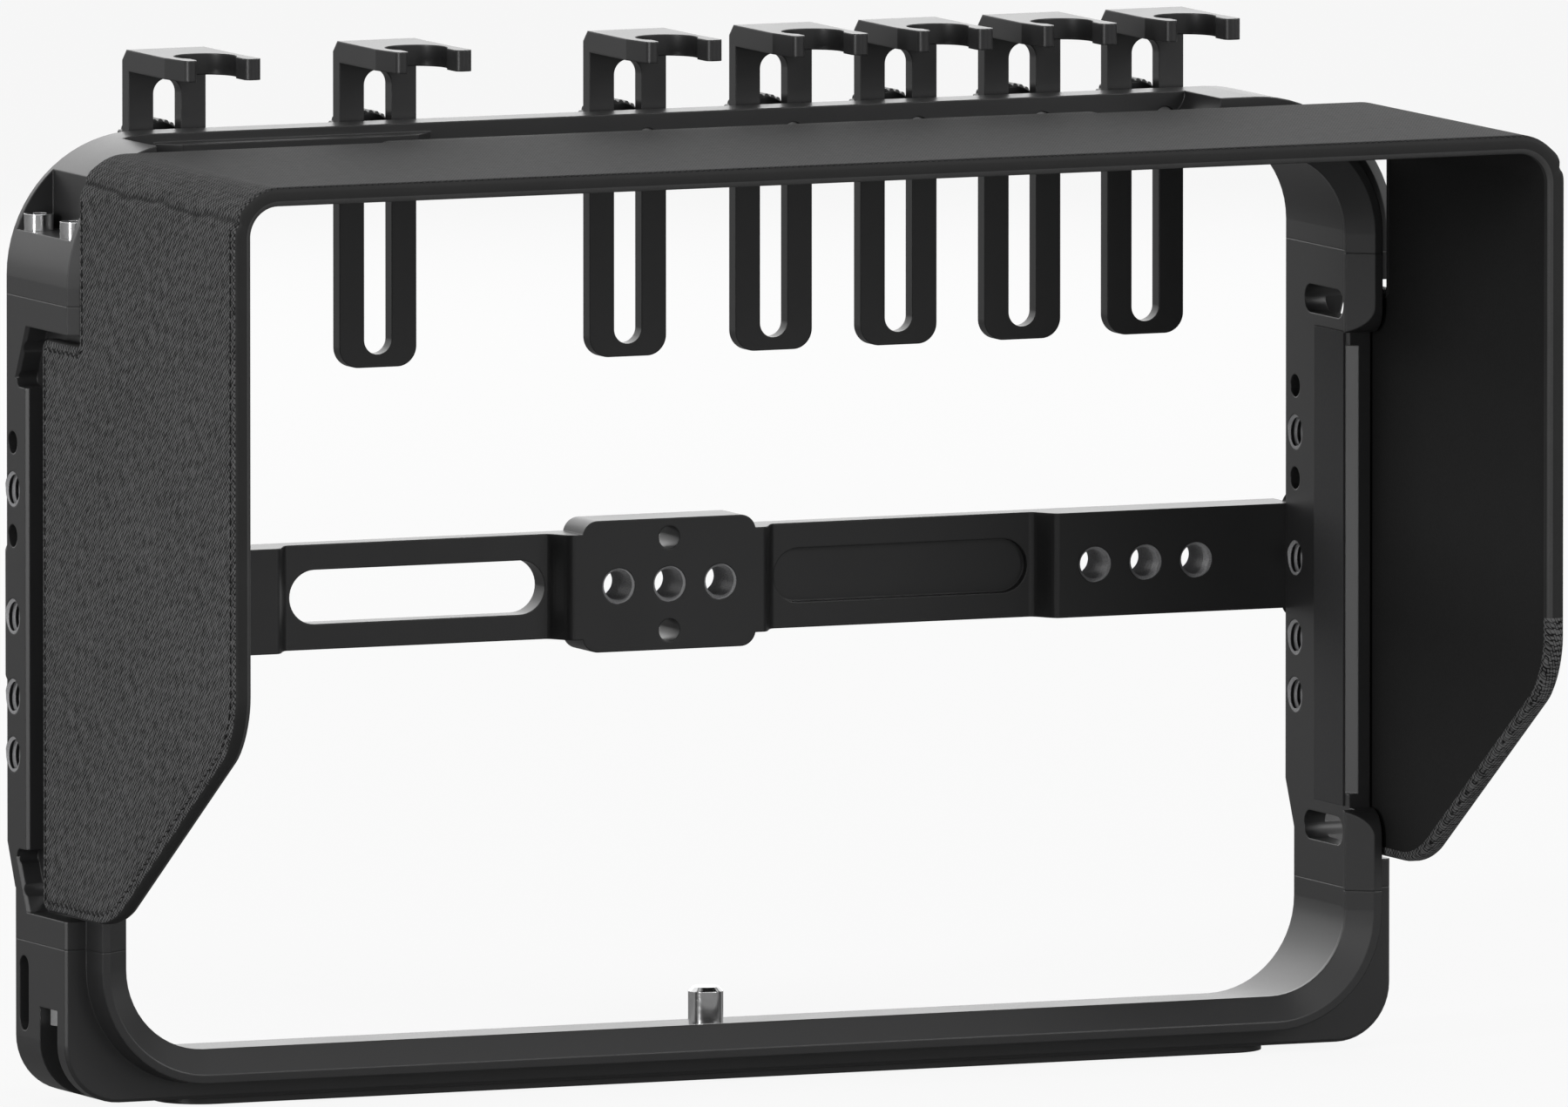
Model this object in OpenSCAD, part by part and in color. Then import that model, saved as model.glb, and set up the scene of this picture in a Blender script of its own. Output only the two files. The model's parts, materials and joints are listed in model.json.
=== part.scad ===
// Streaming device cage: a four-piece frame round a flat device, with a rear crossbar,
// seven sliding cable clamps, a lock screw and a pull-off sun hood.
// All modules draw with the front plane of the frame at y = 0 and the back at +y;
// placed() then moves them so that the origin is under the middle of the whole cage.

/* [Device room] */
// Width of the room for the device
room_w = 243.5; // [220:0.5:290]
// Height of the room for the device
room_h = 157; // [150:0.5:190]
// Radius of the front window's corners
window_r = 15; // [10:0.5:20]
// How far the front lip reaches over the device
lip_over = 2.2; // [1:0.1:3]
// Thickness of the front lip
lip_t = 4; // [3.6:0.1:5.5]

/* [Frame] */
// Depth of the frame
frame_d = 34.1; // [33:0.1:40]
// Depth of the lower section, which stops short of the back plane
low_d = 30.3; // [29.5:0.1:32]
// Thickness of the side walls
side_t = 8.25; // [7.8:0.05:11]
// Thickness of the floor
floor_t = 7.1; // [6.5:0.1:9]
// Thickness of the top bar
top_t = 7.6; // [7:0.1:9]
// Height of the land that the cage stands on
land_h = 1.3; // [0.5:0.1:2.5]
// Radius of the upper outer corners
top_r = 25; // [20:0.5:27]
// Radius of the lower outer corners
low_r = 10.5; // [8:0.5:12]
// Length of the side bars between their seams
bar_len = 115.6; // [114:0.2:119]

/* [Lip] */
// Width of the lead-in slope round the window
slope_w = 4.38; // [3:0.02:4.6]
// Depth of the lead-in slope
slope_d = 3.08; // [2:0.02:4]
// Width of the flat front edge of the lip
lip_front_w = 1.52; // [1:0.02:1.7]
// Width of the lip where it meets the side walls
lip_base_w = 6.35; // [6.3:0.05:7]
// Depth of the step from the lip to the side walls
step_d = 6.3; // [5.5:0.1:7]
// Half the length of the gap in the lip along each side bar
gap_half = 43.15; // [36:0.05:45]
// Radius at the ends of the gap in the lip
gap_r = 5; // [3:0.1:5.2]

/* [Crossbar] */
// Height of the crossbar
cross_h = 19; // [16:0.2:22]
// Full thickness of the crossbar
cross_t = 9; // [7:0.1:11]
// Thickness of its thin stretches
cross_thin = 4.5; // [3:0.1:5.5]
// Height of its centre block
block_h = 23.8; // [22:0.2:28]
// Half the width of its centre block
block_hw = 17; // [14:0.5:17.5]
// Length of the slot in the left stretch
slot_len = 50; // [30:0.5:50]
// Height of the slot
slot_h = 9.8; // [7:0.1:11]

/* [Threads] */
// Radius of the camera screw holes
camera_r = 3.175; // [2.5:0.005:3.3]
// Distance between camera screw holes in a row
camera_pitch = 10; // [8:0.5:12]
// Radius of the locating holes
locate_r = 2.05; // [1.5:0.05:2.2]
// Distance from a camera screw hole to its locating holes
locate_off = 8.4; // [7:0.1:8.8]

/* [Cable clamps] */
// Width of a clamp
clamp_w = 15; // [13:0.5:18]
// Thickness of a clamp's plate
clamp_t = 2.9; // [2:0.1:4]
// Height of a clamp
clamp_h = 59; // [50:0.5:70]
// Width of the slot in a clamp's plate
clamp_slot_w = 5.4; // [4.6:0.1:6]
// Thickness of a clamp's arm
arm_t = 3.84; // [3:0.02:5]
// Radius of the ring that holds a plug
ring_r = 5.7; // [4.5:0.1:5.8]
// Width of the ring's mouth
mouth_w = 9; // [6:0.1:9]

/* [Clamp knobs] */
// Radius of a knob
knob_r = 6; // [5:0.1:7]
// Height of a knob
knob_h = 8.4; // [6:0.1:10]
// Radius of a knob's stud
stud_r = 1.95; // [1.5:0.05:2]

/* [Sun hood] */
// How far the hood reaches in front of the frame
hood_reach = 69.7; // [50:0.1:90]
// Thickness of the hood's wall
hood_wall = 3.4; // [3.2:0.1:4.2]
// Radius of the hood's outer corners
hood_r = 8.8; // [7:0.1:12]
// Thickness of the hood's cloth layers
cloth_t = 0.6; // [0.4:0.05:0.8]
// How far the hood reaches below the middle of the side bars
hood_down = 51.7; // [48:0.1:52.2]

/* [Hidden] */
$fn = 48;

// Overrun of every cut, and the gap between pieces that seat on each other
cut = 1;
hair = 0.01;
seat_gap = 0.3;

// Heights and half widths of the room, the window and the outside
room_hw = room_w / 2;
room_z0 = land_h + floor_t;
room_z1 = room_z0 + room_h;
mid_z = (room_z0 + room_z1) / 2;
room_r = window_r + lip_over;
win_hw = room_hw - lip_over;
win_z0 = room_z0 + lip_over;
win_z1 = room_z1 - lip_over;
out_hw = room_hw + side_t;
top_z = room_z1 + top_t;
seam_z0 = mid_z - bar_len / 2;
seam_z1 = mid_z + bar_len / 2;

// Outside edges of the frame
edge_w = 0.5;
edge_d = 0.5;
back_edge = 1.4;
up_step_d = 3.9;
up_edge_w = 2;
up_edge_d = 1.3;
ramp_rise = 8.5;
ramp_up = 8.9;
ramp_edge = 1.3;
edge_over = 0.3;
ramp_z0 = seam_z0 + ramp_up;
ramp_z1 = ramp_z0 + ramp_rise;

// Seat for the hood: side recesses and the lowered top bar
recess_x = win_hw + lip_base_w;
recess_half = 52.7;
recess_z0 = mid_z - recess_half;
recess_z1 = mid_z + recess_half;
recess_back = 23.8;
recess_r = 2;
recess_edge = 0.6;
lobe_back = 28.3;
lobe_h = 11.2;
lobe_r = 1.5;
lobe_slant = 4.9;
hood_drop = 0.7;
hood_top = top_z - hood_drop;
hood_under = hood_top - hood_wall;
trough_z = hood_under - seat_gap;
trough_left = 19.5;
trough_right = 32.2;
trough_x0 = trough_left - out_hw;
trough_x1 = out_hw - trough_right;
web_t = 8.5;
trough_back = frame_d - web_t;
trough_front = 10;
trough_r = 4;
boss_t = 4.1;
boss_drop = 1.7;
boss_over = 2.4;

// Gap in the lip, and the slope on the wall behind it
wall_slope = 1.8;
wall_slope_half = 40.7;

// Inner pads and their pockets
pad_half = 43;
pad_front = 8.4;
pad_d = 12.7;
pad_pocket = 0.5;
pad_t = 0.8;

// Strap windows through the side walls, strap slots in the lower corners
strap_h = 5.2;
strap_y0 = 9;
strap_y1 = 25.9;
strap_off = 47.8;
low_slot_w = 4.2;
low_slot_y = 25.1;
low_slot_deep = 6;
low_slot_len = 13.5;
low_slot_down = 2.7;
low_slot_z1 = seam_z0 - low_slot_down;
low_slot_z0 = low_slot_z1 - low_slot_len;

// Frame screws, with the pockets that their heads sit in
screw_r = 1.45;
screw_hole_r = 1.5;
screw_len = 15;
head_r = 2.75;
head_h = 3;
hex_r = 1.45;
hex_deep = 1.8;
screw_in = 4.5;
screw_x = out_hw - screw_in;
low_screw_in = 3.3;
low_screw_x = out_hw - low_screw_in;
up_screw_y0 = 11.9;
up_screw_in = 5.8;
up_screw_ys = [up_screw_y0, frame_d - up_screw_in];
low_screw_y = 14;
up_pocket_up = 11.6;
up_pocket_in = 8.5;
up_pocket_z = seam_z1 + up_pocket_up;
up_pocket_x = out_hw - up_pocket_in;
up_pocket_y0 = 7;
up_pocket_back = 2.8;
up_pocket_y1 = frame_d - up_pocket_back;
low_pocket_down = 11.2;
low_pocket_in = 8.1;
low_pocket_z = seam_z0 - low_pocket_down;
low_pocket_x = out_hw - low_pocket_in;
low_pocket_w = 8;

// Accessory holes in the rear spine of each side bar
spine_in = 4.1;
spine_hole_y = frame_d - spine_in;
thread_shares = [0.198, 0, -0.1245, -0.2145];

// Magnets
magnet_r = 3;
magnet_t = 2;
magnet_gap = 0.05;
magnet_y = 12.5;
magnet_off = 38;
hood_magnet_t = 1.8;

// Land under the floor
land_hw = 108;
land_y0 = 8;
land_y1 = 29;
land_r = 8;

// Lock screw and its washer
lock_y = 17.9;
lock_reach = 7.3;
lock_top = room_z0 + lock_reach;
lock_gap = 0.05;
lock_bore_r = camera_r + lock_gap;
lock_head_r = 5.6;
lock_head_h = 3.3;
lock_sunk = 0.5;
lock_neck_r = 2.4;
lock_tip = 0.8;
lock_slot_w = 1.6;
lock_slot_d = 1.4;
washer_t = 0.6;
washer_r = 5.2;
washer_gap = 0.1;
counterbore_r = lock_head_r + seat_gap;
counterbore_z = lock_sunk + lock_head_h + washer_t + 2 * washer_gap;

// Crossbar
cross_y = frame_d;
cross_back = cross_y + cross_t;
thin_y = cross_back - cross_thin;
bend_len = 4;
bend_steps = 10;
centre_over = 1.5;
centre_hw = block_hw + centre_over;
slot_end_gap = 0.4;
side_thick_x = centre_hw + 2 * bend_len + slot_len + slot_end_gap;
slot_x = centre_hw + bend_len + slot_len / 2;
pocket_deep = 1.5;
block_r = 3;
row_in = 17;
row_x = side_thick_x + row_in;
end_t = 2.9;
end_len = 6.75;
end_in = 1.6;
end_x = room_hw + end_len;
end_half = 13;
end_r = 2;
fillet_r = 1.5;
cross_screw_in = 3.3;
cross_screw_x = room_hw + cross_screw_in;
cross_screw_off = 8.8;
cross_screw_len = 8;
cross_head_r = 2.8;
cross_head_h = 1.7;

// Cable clamps, hung on studs through the top bar
stud_down = 4.7;
stud_z = top_z - stud_down;
clamp_shares = [-0.754, -0.438, -0.0615, 0.159, 0.348, 0.536, 0.723];
clamp_gap = 0.3;
clamp_y0 = frame_d + clamp_gap;
clamp_y1 = clamp_y0 + clamp_t;
clamp_down = 40;
clamp_low = stud_z - clamp_down;
clamp_top = clamp_low + clamp_h;
clamp_corner = 3.7;
clamp_slant = 2;
slot_end = 2.3;
arm_room = 1.5;
ring_y = 18;
ring_x = 0.4;
tip_r = 1.2;
tip_y = 11.7;
flare = 0.7;

// Clamp knobs and studs
stud_gap = 0.05;
stud_free = 0.6;
stud_front = trough_back + stud_free;
blind_wall = 1;
blind_front = trough_back - boss_t + blind_wall;
knob_y0 = clamp_y1 + clamp_gap;
knob_back = knob_y0 + knob_h;
knob_neck_r = 4;
knob_neck_t = 0.8;
stud_in = 6;
flute_r = 0.45;
flutes = 30;
knob_edge = 0.6;
knob_dish_r = 3.6;
knob_dish_d = 0.7;

// Sun hood
hood_in_hw = recess_x + seat_gap;
hood_out_hw = hood_in_hw + hood_wall;
hood_rear = 0.9;
tab_rear = 17.9;
tab_up = 51.1;
tab_top = mid_z + tab_up;
hood_low = mid_z - hood_down;
tab_r = 2;
top_tab_rear = 4;
top_tab_hw = 70;
bend_r1 = 20;
bend_f1 = 7;
bend_r2 = 15;
bend_down = 5.2;
bend_in = 0.02;
bend_z2 = mid_z - bend_down;

// Middle of the whole cage from front to back
mid_y = (knob_back - hood_reach) / 2;

// Moves what is drawn from the front plane to the part's own origin
module placed() {
    translate([0, -mid_y, 0]) children();
}

// Extrudes a front view from y0 back to y1
module depth(y0, y1) {
    translate([0, y1, 0]) rotate([90, 0, 0]) linear_extrude(y1 - y0) children();
}

// Extrudes a side view, drawn as y across and z up, from x0 to x1
module across(x0, x1) {
    translate([x0, 0, 0]) rotate([90, 0, 90]) linear_extrude(x1 - x0) children();
}

// Box between two corners
module box(low, high) {
    translate(low) cube(high - low);
}

// Rounded outline with its own radius at the foot and at the top
module outline(hw, low, high, r_low, r_high) {
    polygon([
        [-(hw - r_low), low], [hw - r_low, low], [hw, low + r_low], [hw, high - r_high],
        [hw - r_high, high], [-(hw - r_high), high], [-hw, high - r_high], [-hw, low + r_low]
    ]);
    for (side = [-1, 1]) {
        translate([side * (hw - r_low), low + r_low]) circle(r_low);
        translate([side * (hw - r_high), high - r_high]) circle(r_high);
    }
}

// Rounded rectangle between two corners of a view
module plate2d(low, high, r) {
    mid = (low + high) / 2;
    translate([mid[0], 0]) outline((high[0] - low[0]) / 2, low[1], high[1], r, r);
}

// Sweeps a section, x outward and y back, round an outline
module ring(hw, low, high, r_low, r_high) {
    for (side = [0, 1]) {
        mirror([side, 0, 0]) {
            translate([hw, 0, low + r_low]) {
                linear_extrude(high - low - r_low - r_high) children();
            }
            ring_corner(hw, low, r_low) children();
            mirror([0, 0, 1]) ring_corner(hw, -high, r_high) children();
        }
    }
    ring_run(hw - r_low, low) children();
    mirror([0, 0, 1]) ring_run(hw - r_high, -high) children();
}

module ring_corner(hw, low, r) {
    translate([hw - r, 0, low + r]) {
        rotate([-90, 0, 0]) rotate_extrude(angle = 90) translate([r, 0]) children();
    }
}

module ring_run(half, low) {
    translate([-half, 0, low]) rotate([0, 90, 0]) linear_extrude(2 * half) children();
}

// Cylinder along x from x0 to x1
module x_bore(x0, x1, y, z, r) {
    translate([x0, y, z]) rotate([0, 90, 0]) cylinder(x1 - x0, r, r);
}

// Cylinder along y from y0 to y1
module y_bore(y0, y1, x, z, r) {
    translate([x, y1, z]) rotate([90, 0, 0]) cylinder(y1 - y0, r, r);
}

// Cylinder up z from z0 to z1
module z_bore(z0, z1, x, y, r) {
    translate([x, y, z0]) cylinder(z1 - z0, r, r);
}

// Slope cut on the outer edge of the frame: across the wall and back from plane y
module outer_edge(y, wide, deep) {
    sign_y = deep < 0 ? 1 : -1;
    polygon([
        [-wide, y], [0, y + deep], [cut, y + deep], [cut, y + sign_y * cut], [-wide, y + sign_y * cut]
    ]);
}

// The whole frame before it is parted into four sections
module frame_blank() {
    difference() {
        union() {
            depth(step_d, frame_d) outline(out_hw, land_h, top_z, low_r, top_r);
            ring(win_hw, win_z0, win_z1, window_r, window_r) {
                polygon([
                    [0, slope_d], [slope_w, 0], [slope_w + lip_front_w, 0],
                    [lip_base_w, step_d], [lip_base_w, step_d + cut], [0, step_d + cut]
                ]);
            }
        }
        depth(lip_t, frame_d + cut) outline(room_hw, room_z0, room_z1, room_r, room_r);
        depth(-cut, step_d + cut) outline(win_hw, win_z0, win_z1, window_r, window_r);
    }
}

// Step of the upper section, which comes further forward than the rest
module upper_step(z0, z1) {
    difference() {
        intersection() {
            depth(up_step_d, step_d + cut) outline(out_hw, land_h, top_z, low_r, top_r);
            box([-out_hw, 0, z0], [out_hw, step_d + cut, z1]);
        }
        depth(-cut, step_d + 2 * cut) {
            outline(win_hw + slope_w, win_z0, win_z1, window_r, window_r);
        }
        ring(out_hw, land_h, top_z, low_r, top_r) outer_edge(up_step_d, up_edge_w, up_edge_d);
    }
}

// Back of the sides: the ramp down to the shallower lower section
module back_ramp() {
    across(-out_hw - cut, out_hw + cut) {
        polygon([
            [frame_d, ramp_z1], [low_d, ramp_z0], [low_d, -cut], [frame_d + cut, -cut],
            [frame_d + cut, ramp_z1]
        ]);
    }
    edge_run([low_d, ramp_z0], [frame_d, ramp_z1], -ramp_edge);
}

// Slope cut on the outer face along a leaning edge, from p up to q in side view
module edge_run(p, q, deep) {
    lean = atan2(q[0] - p[0], q[1] - p[1]);
    sign_y = deep < 0 ? 1 : -1;
    intersection() {
        translate([out_hw, p[0], p[1]]) rotate([-lean, 0, 0]) translate([0, 0, -4 * cut]) {
            linear_extrude(norm(q - p) + 8 * cut) {
                polygon([
                    [-abs(deep), 0], [0, deep * cos(lean)], [cut, deep * cos(lean)],
                    [cut, sign_y * cut], [-abs(deep), sign_y * cut]
                ]);
            }
        }
        box([0, 0, p[1]], [out_hw + cut, frame_d + cut, q[1]]);
    }
}

// Front edge slope of the lower sections
module front_edges(low, high) {
    intersection() {
        ring(out_hw, land_h, top_z, low_r, top_r) outer_edge(step_d, edge_w, edge_d);
        box([-out_hw - cut, 0, low], [out_hw + cut, frame_d, high]);
    }
}

// Back edge slopes, one for each depth of the back plane
module back_edges(low, high) {
    intersection() {
        ring(out_hw, land_h, top_z, low_r, top_r) {
            outer_edge(frame_d, back_edge, -back_edge);
        }
        box([-out_hw - cut, 0, low], [out_hw + cut, frame_d + cut, high]);
    }
}

module low_back_edges(low, high) {
    intersection() {
        ring(out_hw, land_h, top_z, low_r, top_r) {
            outer_edge(low_d, back_edge, -back_edge);
        }
        box([-out_hw - cut, 0, low], [out_hw + cut, low_d + cut, high]);
    }
}

// Clearance bores of the frame screws, through both sections that they join
module frame_screw_bores() {
    for (side = [-1, 1]) {
        for (y = up_screw_ys) {
            z_bore(up_pocket_z - screw_len, up_pocket_z + cut, side * screw_x, y, screw_hole_r);
        }
        z_bore(low_pocket_z - cut, low_pocket_z + screw_len, side * low_screw_x, low_screw_y,
               screw_hole_r);
    }
}

// Trough in the top bar that the hood's rear edge lies over
module hood_trough() {
    box([-out_hw, -cut, trough_z], [out_hw, trough_front, top_z + cut]);
    box([trough_x0, -cut, trough_z], [trough_x1 - trough_r, trough_back, top_z + cut]);
    difference() {
        box([trough_x1 - trough_r - cut, 0, trough_z], [trough_x1, trough_back, top_z + cut]);
        difference() {
            box([trough_x1 - trough_r, -cut, trough_z - cut],
                [trough_x1 + cut, trough_back + cut, trough_z + trough_r]);
            y_bore(-2 * cut, trough_back + 2 * cut, trough_x1 - trough_r, trough_z + trough_r, trough_r);
        }
    }
}

// Thicker stretch of the web that takes the two left clamp screws
module web_boss() {
    boss_x0 = clamp_x(0) - boss_over;
    boss_x1 = clamp_x(1) + boss_over;
    boss_z = trough_z - cut;
    translate([0, 0, boss_z]) linear_extrude(top_z - boss_drop - boss_z) {
        polygon([
            [boss_x0 - boss_t, trough_back + cut], [boss_x0 - boss_t, trough_back],
            [boss_x0, trough_back - boss_t], [boss_x1, trough_back - boss_t],
            [boss_x1 + boss_t, trough_back], [boss_x1 + boss_t, trough_back + cut]
        ]);
    }
}

module top_frame() {
    color("#242426") placed() difference() {
        union() {
            difference() {
                union() {
                    intersection() {
                        frame_blank();
                        box([-out_hw, -cut, seam_z1], [out_hw, frame_d, top_z]);
                    }
                    upper_step(seam_z1, top_z);
                }
                hood_trough();
            }
            web_boss();
        }
        back_edges(seam_z1 - cut, top_z + cut);
        for (side = [0, 1]) {
            mirror([side, 0, 0]) {
                box([up_pocket_x, up_pocket_y0, up_pocket_z], [out_hw + cut, up_pocket_y1, top_z]);
            }
        }
        frame_screw_bores();
        for (i = [0 : len(clamp_shares) - 1]) {
            y_bore(stud_bore_front(i), frame_d + cut, clamp_x(i), stud_z, stud_r + stud_gap);
        }
    }
}

module bottom_frame() {
    color("#242426") placed() difference() {
        union() {
            intersection() {
                frame_blank();
                box([-out_hw, -cut, land_h], [out_hw, low_d, seam_z0]);
            }
            linear_extrude(land_h + cut) {
                plate2d([-land_hw, land_y0], [land_hw, land_y1], land_r);
            }
        }
        low_back_edges(-cut, seam_z0 + cut);
        front_edges(0, seam_z0 + cut);
        for (side = [0, 1]) {
            mirror([side, 0, 0]) {
                box([low_pocket_x, low_screw_y - low_pocket_w / 2, -cut],
                    [out_hw + cut, low_screw_y + low_pocket_w / 2, low_pocket_z]);
                across(out_hw - low_slot_deep, out_hw + cut) {
                    plate2d([low_slot_y - low_slot_w / 2, low_slot_z0],
                            [low_slot_y + low_slot_w / 2, low_slot_z1], low_slot_w / 2 - hair);
                }
            }
        }
        frame_screw_bores();
        z_bore(-cut, room_z0 + cut, 0, lock_y, lock_bore_r);
        z_bore(-cut, counterbore_z, 0, lock_y, counterbore_r);
        for (i = [1 : 3]) {
            z_bore(-cut, room_z0 + cut, -i * camera_pitch, lock_y, camera_r);
        }
    }
}

// Gap in the lip of the right bar, cut right back to the room's wall
module lip_gap() {
    translate([0, 0, mid_z - gap_half]) linear_extrude(2 * gap_half) {
        polygon([
            [win_hw - cut, -cut], [recess_x + cut, -cut], [recess_x + cut, step_d],
            [win_hw - cut, step_d]
        ]);
    }
    translate([0, 0, mid_z - wall_slope_half]) linear_extrude(2 * wall_slope_half) {
        polygon([
            [room_hw - cut, step_d - cut], [room_hw + wall_slope + cut, step_d - cut],
            [room_hw - cut, step_d + wall_slope + cut]
        ]);
    }
    for (end = [-1, 1]) {
        across(win_hw - cut, recess_x + cut) {
            difference() {
                z_from = mid_z + end * (gap_half - cut);
                z_to = mid_z + end * (gap_half + gap_r);
                translate([-cut, min(z_from, z_to)]) square([gap_r + cut, gap_r + cut]);
                translate([gap_r, z_to]) circle(gap_r);
            }
        }
    }
}

// Side recess that takes the hood's tab, with a slanted finger lobe at each end
module tab_recess() {
    lobe_in = recess_half - lobe_h;
    across(recess_x, out_hw + cut) {
        plate2d([-cut, recess_z0], [recess_back, recess_z1], recess_r);
        for (end = [-1, 1]) {
            polygon([
                [recess_back / 2, mid_z + end * recess_half],
                [lobe_back - lobe_slant, mid_z + end * recess_half],
                [lobe_back, mid_z + end * (lobe_in + lobe_r)],
                [lobe_back - lobe_r, mid_z + end * lobe_in],
                [recess_back / 2, mid_z + end * lobe_in]
            ]);
            translate([lobe_back - lobe_r, mid_z + end * (lobe_in + lobe_r)]) circle(lobe_r);
        }
    }
    edge_run([recess_back, mid_z - lobe_in], [recess_back, mid_z + lobe_in], recess_edge);
    edge_run([lobe_back, mid_z + lobe_in + lobe_r], [lobe_back - lobe_slant, recess_z1], recess_edge);
    edge_run([lobe_back - lobe_slant, recess_z0], [lobe_back, mid_z - lobe_in - lobe_r], recess_edge);
}

// Right side bar; the left one is its mirror image
module side_bar() {
    difference() {
        union() {
            intersection() {
                frame_blank();
                box([0, -cut, seam_z0], [out_hw, frame_d, seam_z1]);
            }
            intersection() {
                upper_step(recess_z1, seam_z1);
                box([0, 0, recess_z1], [out_hw, step_d + cut, seam_z1]);
            }
        }
        back_ramp();
        back_edges(ramp_z1 - edge_over, seam_z1 + cut);
        low_back_edges(seam_z0 - cut, ramp_z0 + edge_over);
        front_edges(seam_z0 - cut, recess_z0 + cut);
        tab_recess();
        lip_gap();
        box([room_hw - cut, pad_front, mid_z - pad_half],
            [room_hw + pad_pocket, pad_front + pad_d, mid_z + pad_half]);
        for (end = [-1, 1]) {
            across(win_hw, out_hw + cut) {
                strap_z = mid_z + end * strap_off;
                plate2d([strap_y0, strap_z - strap_h / 2], [strap_y1, strap_z + strap_h / 2],
                        strap_h / 2 - hair);
            }
            x_bore(recess_x - magnet_t - seat_gap, out_hw, magnet_y, mid_z + end * magnet_off,
                   magnet_r + magnet_gap);
            x_bore(win_hw, out_hw + cut, spine_hole_y,
                   mid_z + thread_shares[0] * bar_len + end * locate_off, locate_r);
            y_bore(frame_d - cross_screw_len, frame_d + cut, cross_screw_x,
                   mid_z + end * cross_screw_off, screw_hole_r);
        }
        for (share = thread_shares) {
            x_bore(win_hw, out_hw + cut, spine_hole_y, mid_z + share * bar_len, camera_r);
        }
        frame_screw_bores();
    }
}

module right_side_bar() {
    color("#242426") placed() side_bar();
}

module left_side_bar() {
    color("#242426") placed() mirror([1, 0, 0]) side_bar();
}

// Thin rubber strip in the pocket of the right bar
module pad() {
    box([room_hw + pad_pocket - pad_t, pad_front, mid_z - pad_half],
        [room_hw + pad_pocket, pad_front + pad_d, mid_z + pad_half]);
}

module right_pad() {
    color("#1a1a1b") placed() pad();
}

module left_pad() {
    color("#1a1a1b") placed() mirror([1, 0, 0]) pad();
}

// Socket head screw, head up, with the underside of its head at z = 0
module socket_screw() {
    difference() {
        cylinder(head_h, head_r, head_r);
        translate([0, 0, head_h - hex_deep]) cylinder(hex_deep + cut, hex_r, hex_r, $fn = 6);
    }
    translate([0, 0, -screw_len]) cylinder(screw_len, screw_r, screw_r);
}

module upper_frame_screws() {
    color("#d8d8da") placed() for (side = [-1, 1]) {
        for (y = up_screw_ys) {
            translate([side * screw_x, y, up_pocket_z]) socket_screw();
        }
    }
}

module lower_frame_screws() {
    color("#d8d8da") placed() for (side = [-1, 1]) {
        translate([side * low_screw_x, low_screw_y, low_pocket_z]) {
            mirror([0, 0, 1]) socket_screw();
        }
    }
}

module frame_magnets() {
    color("#b9b9bc") placed() for (side = [0, 1]) {
        mirror([side, 0, 0]) {
            for (end = [-1, 1]) {
                x_bore(recess_x - magnet_t - seat_gap, recess_x - seat_gap, magnet_y,
                       mid_z + end * magnet_off, magnet_r);
            }
        }
    }
}

// Smooth bend of the crossbar's front face, from the thick to the thin stretch
function bend(x_thick, x_thin) = [
    for (i = [0 : bend_steps])
        [x_thick + (x_thin - x_thick) * i / bend_steps,
         cross_y + (thin_y - cross_y) * (1 - cos(180 * i / bend_steps)) / 2]
];

function reversed(points) = [for (i = [len(points) - 1 : -1 : 0]) points[i]];

// Half of the crossbar's front face, from its middle outwards
function half_face(side) = concat(
    bend(side * centre_hw, side * (centre_hw + bend_len)),
    reversed(bend(side * side_thick_x, side * (side_thick_x - bend_len)))
);

module crossbar() {
    color("#242426") placed() difference() {
        union() {
            translate([0, 0, mid_z - cross_h / 2]) linear_extrude(cross_h) {
                polygon(concat(
                    [[-room_hw - end_in, cross_back], [-room_hw - end_in, cross_y]],
                    reversed(half_face(-1)), half_face(1),
                    [[room_hw + end_in, cross_y], [room_hw + end_in, cross_back]]
                ));
            }
            depth(cross_y, cross_back) {
                outline(block_hw, mid_z - block_h / 2, mid_z + block_h / 2, block_r, block_r);
            }
            for (side = [0, 1]) {
                mirror([side, 0, 0]) {
                    depth(cross_y, cross_y + end_t) {
                        plate2d([room_hw + end_in, mid_z - end_half], [end_x, mid_z + end_half], end_r);
                        translate([room_hw + end_in, mid_z - end_half]) square([end_r, 2 * end_half]);
                        end_fillet(1);
                        end_fillet(-1);
                    }
                }
            }
        }
        depth(cross_y - cut, cross_back + cut) {
            plate2d([-slot_x - slot_len / 2, mid_z - slot_h / 2],
                    [-slot_x + slot_len / 2, mid_z + slot_h / 2], slot_h / 2 - hair);
        }
        depth(cross_y - cut, thin_y + pocket_deep) {
            plate2d([slot_x - slot_len / 2, mid_z - slot_h / 2],
                    [slot_x + slot_len / 2, mid_z + slot_h / 2], slot_h / 2 - hair);
        }
        for (i = [-1 : 1]) {
            y_bore(cross_y - cut, cross_back + cut, i * camera_pitch, mid_z, camera_r);
            y_bore(cross_y - cut, cross_back + cut, row_x + i * camera_pitch, mid_z, camera_r);
        }
        for (side = [-1, 1]) {
            y_bore(cross_y - cut, cross_back + cut, 0, mid_z + side * locate_off, locate_r);
            for (end = [-1, 1]) {
                translate([end * cross_screw_x, cross_y + end_t, mid_z + side * cross_screw_off]) {
                    rotate([90, 0, 0]) countersunk(screw_hole_r, cross_head_r + magnet_gap, end_t + cut);
                }
            }
        }
    }
}

// Small inside round where the bar meets its end plate
module end_fillet(up) {
    translate([room_hw + end_in, mid_z + up * cross_h / 2]) {
        difference() {
            translate([-fillet_r, up > 0 ? 0 : -fillet_r]) square([fillet_r, fillet_r]);
            translate([-fillet_r, up * fillet_r]) circle(fillet_r);
        }
    }
}

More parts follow.
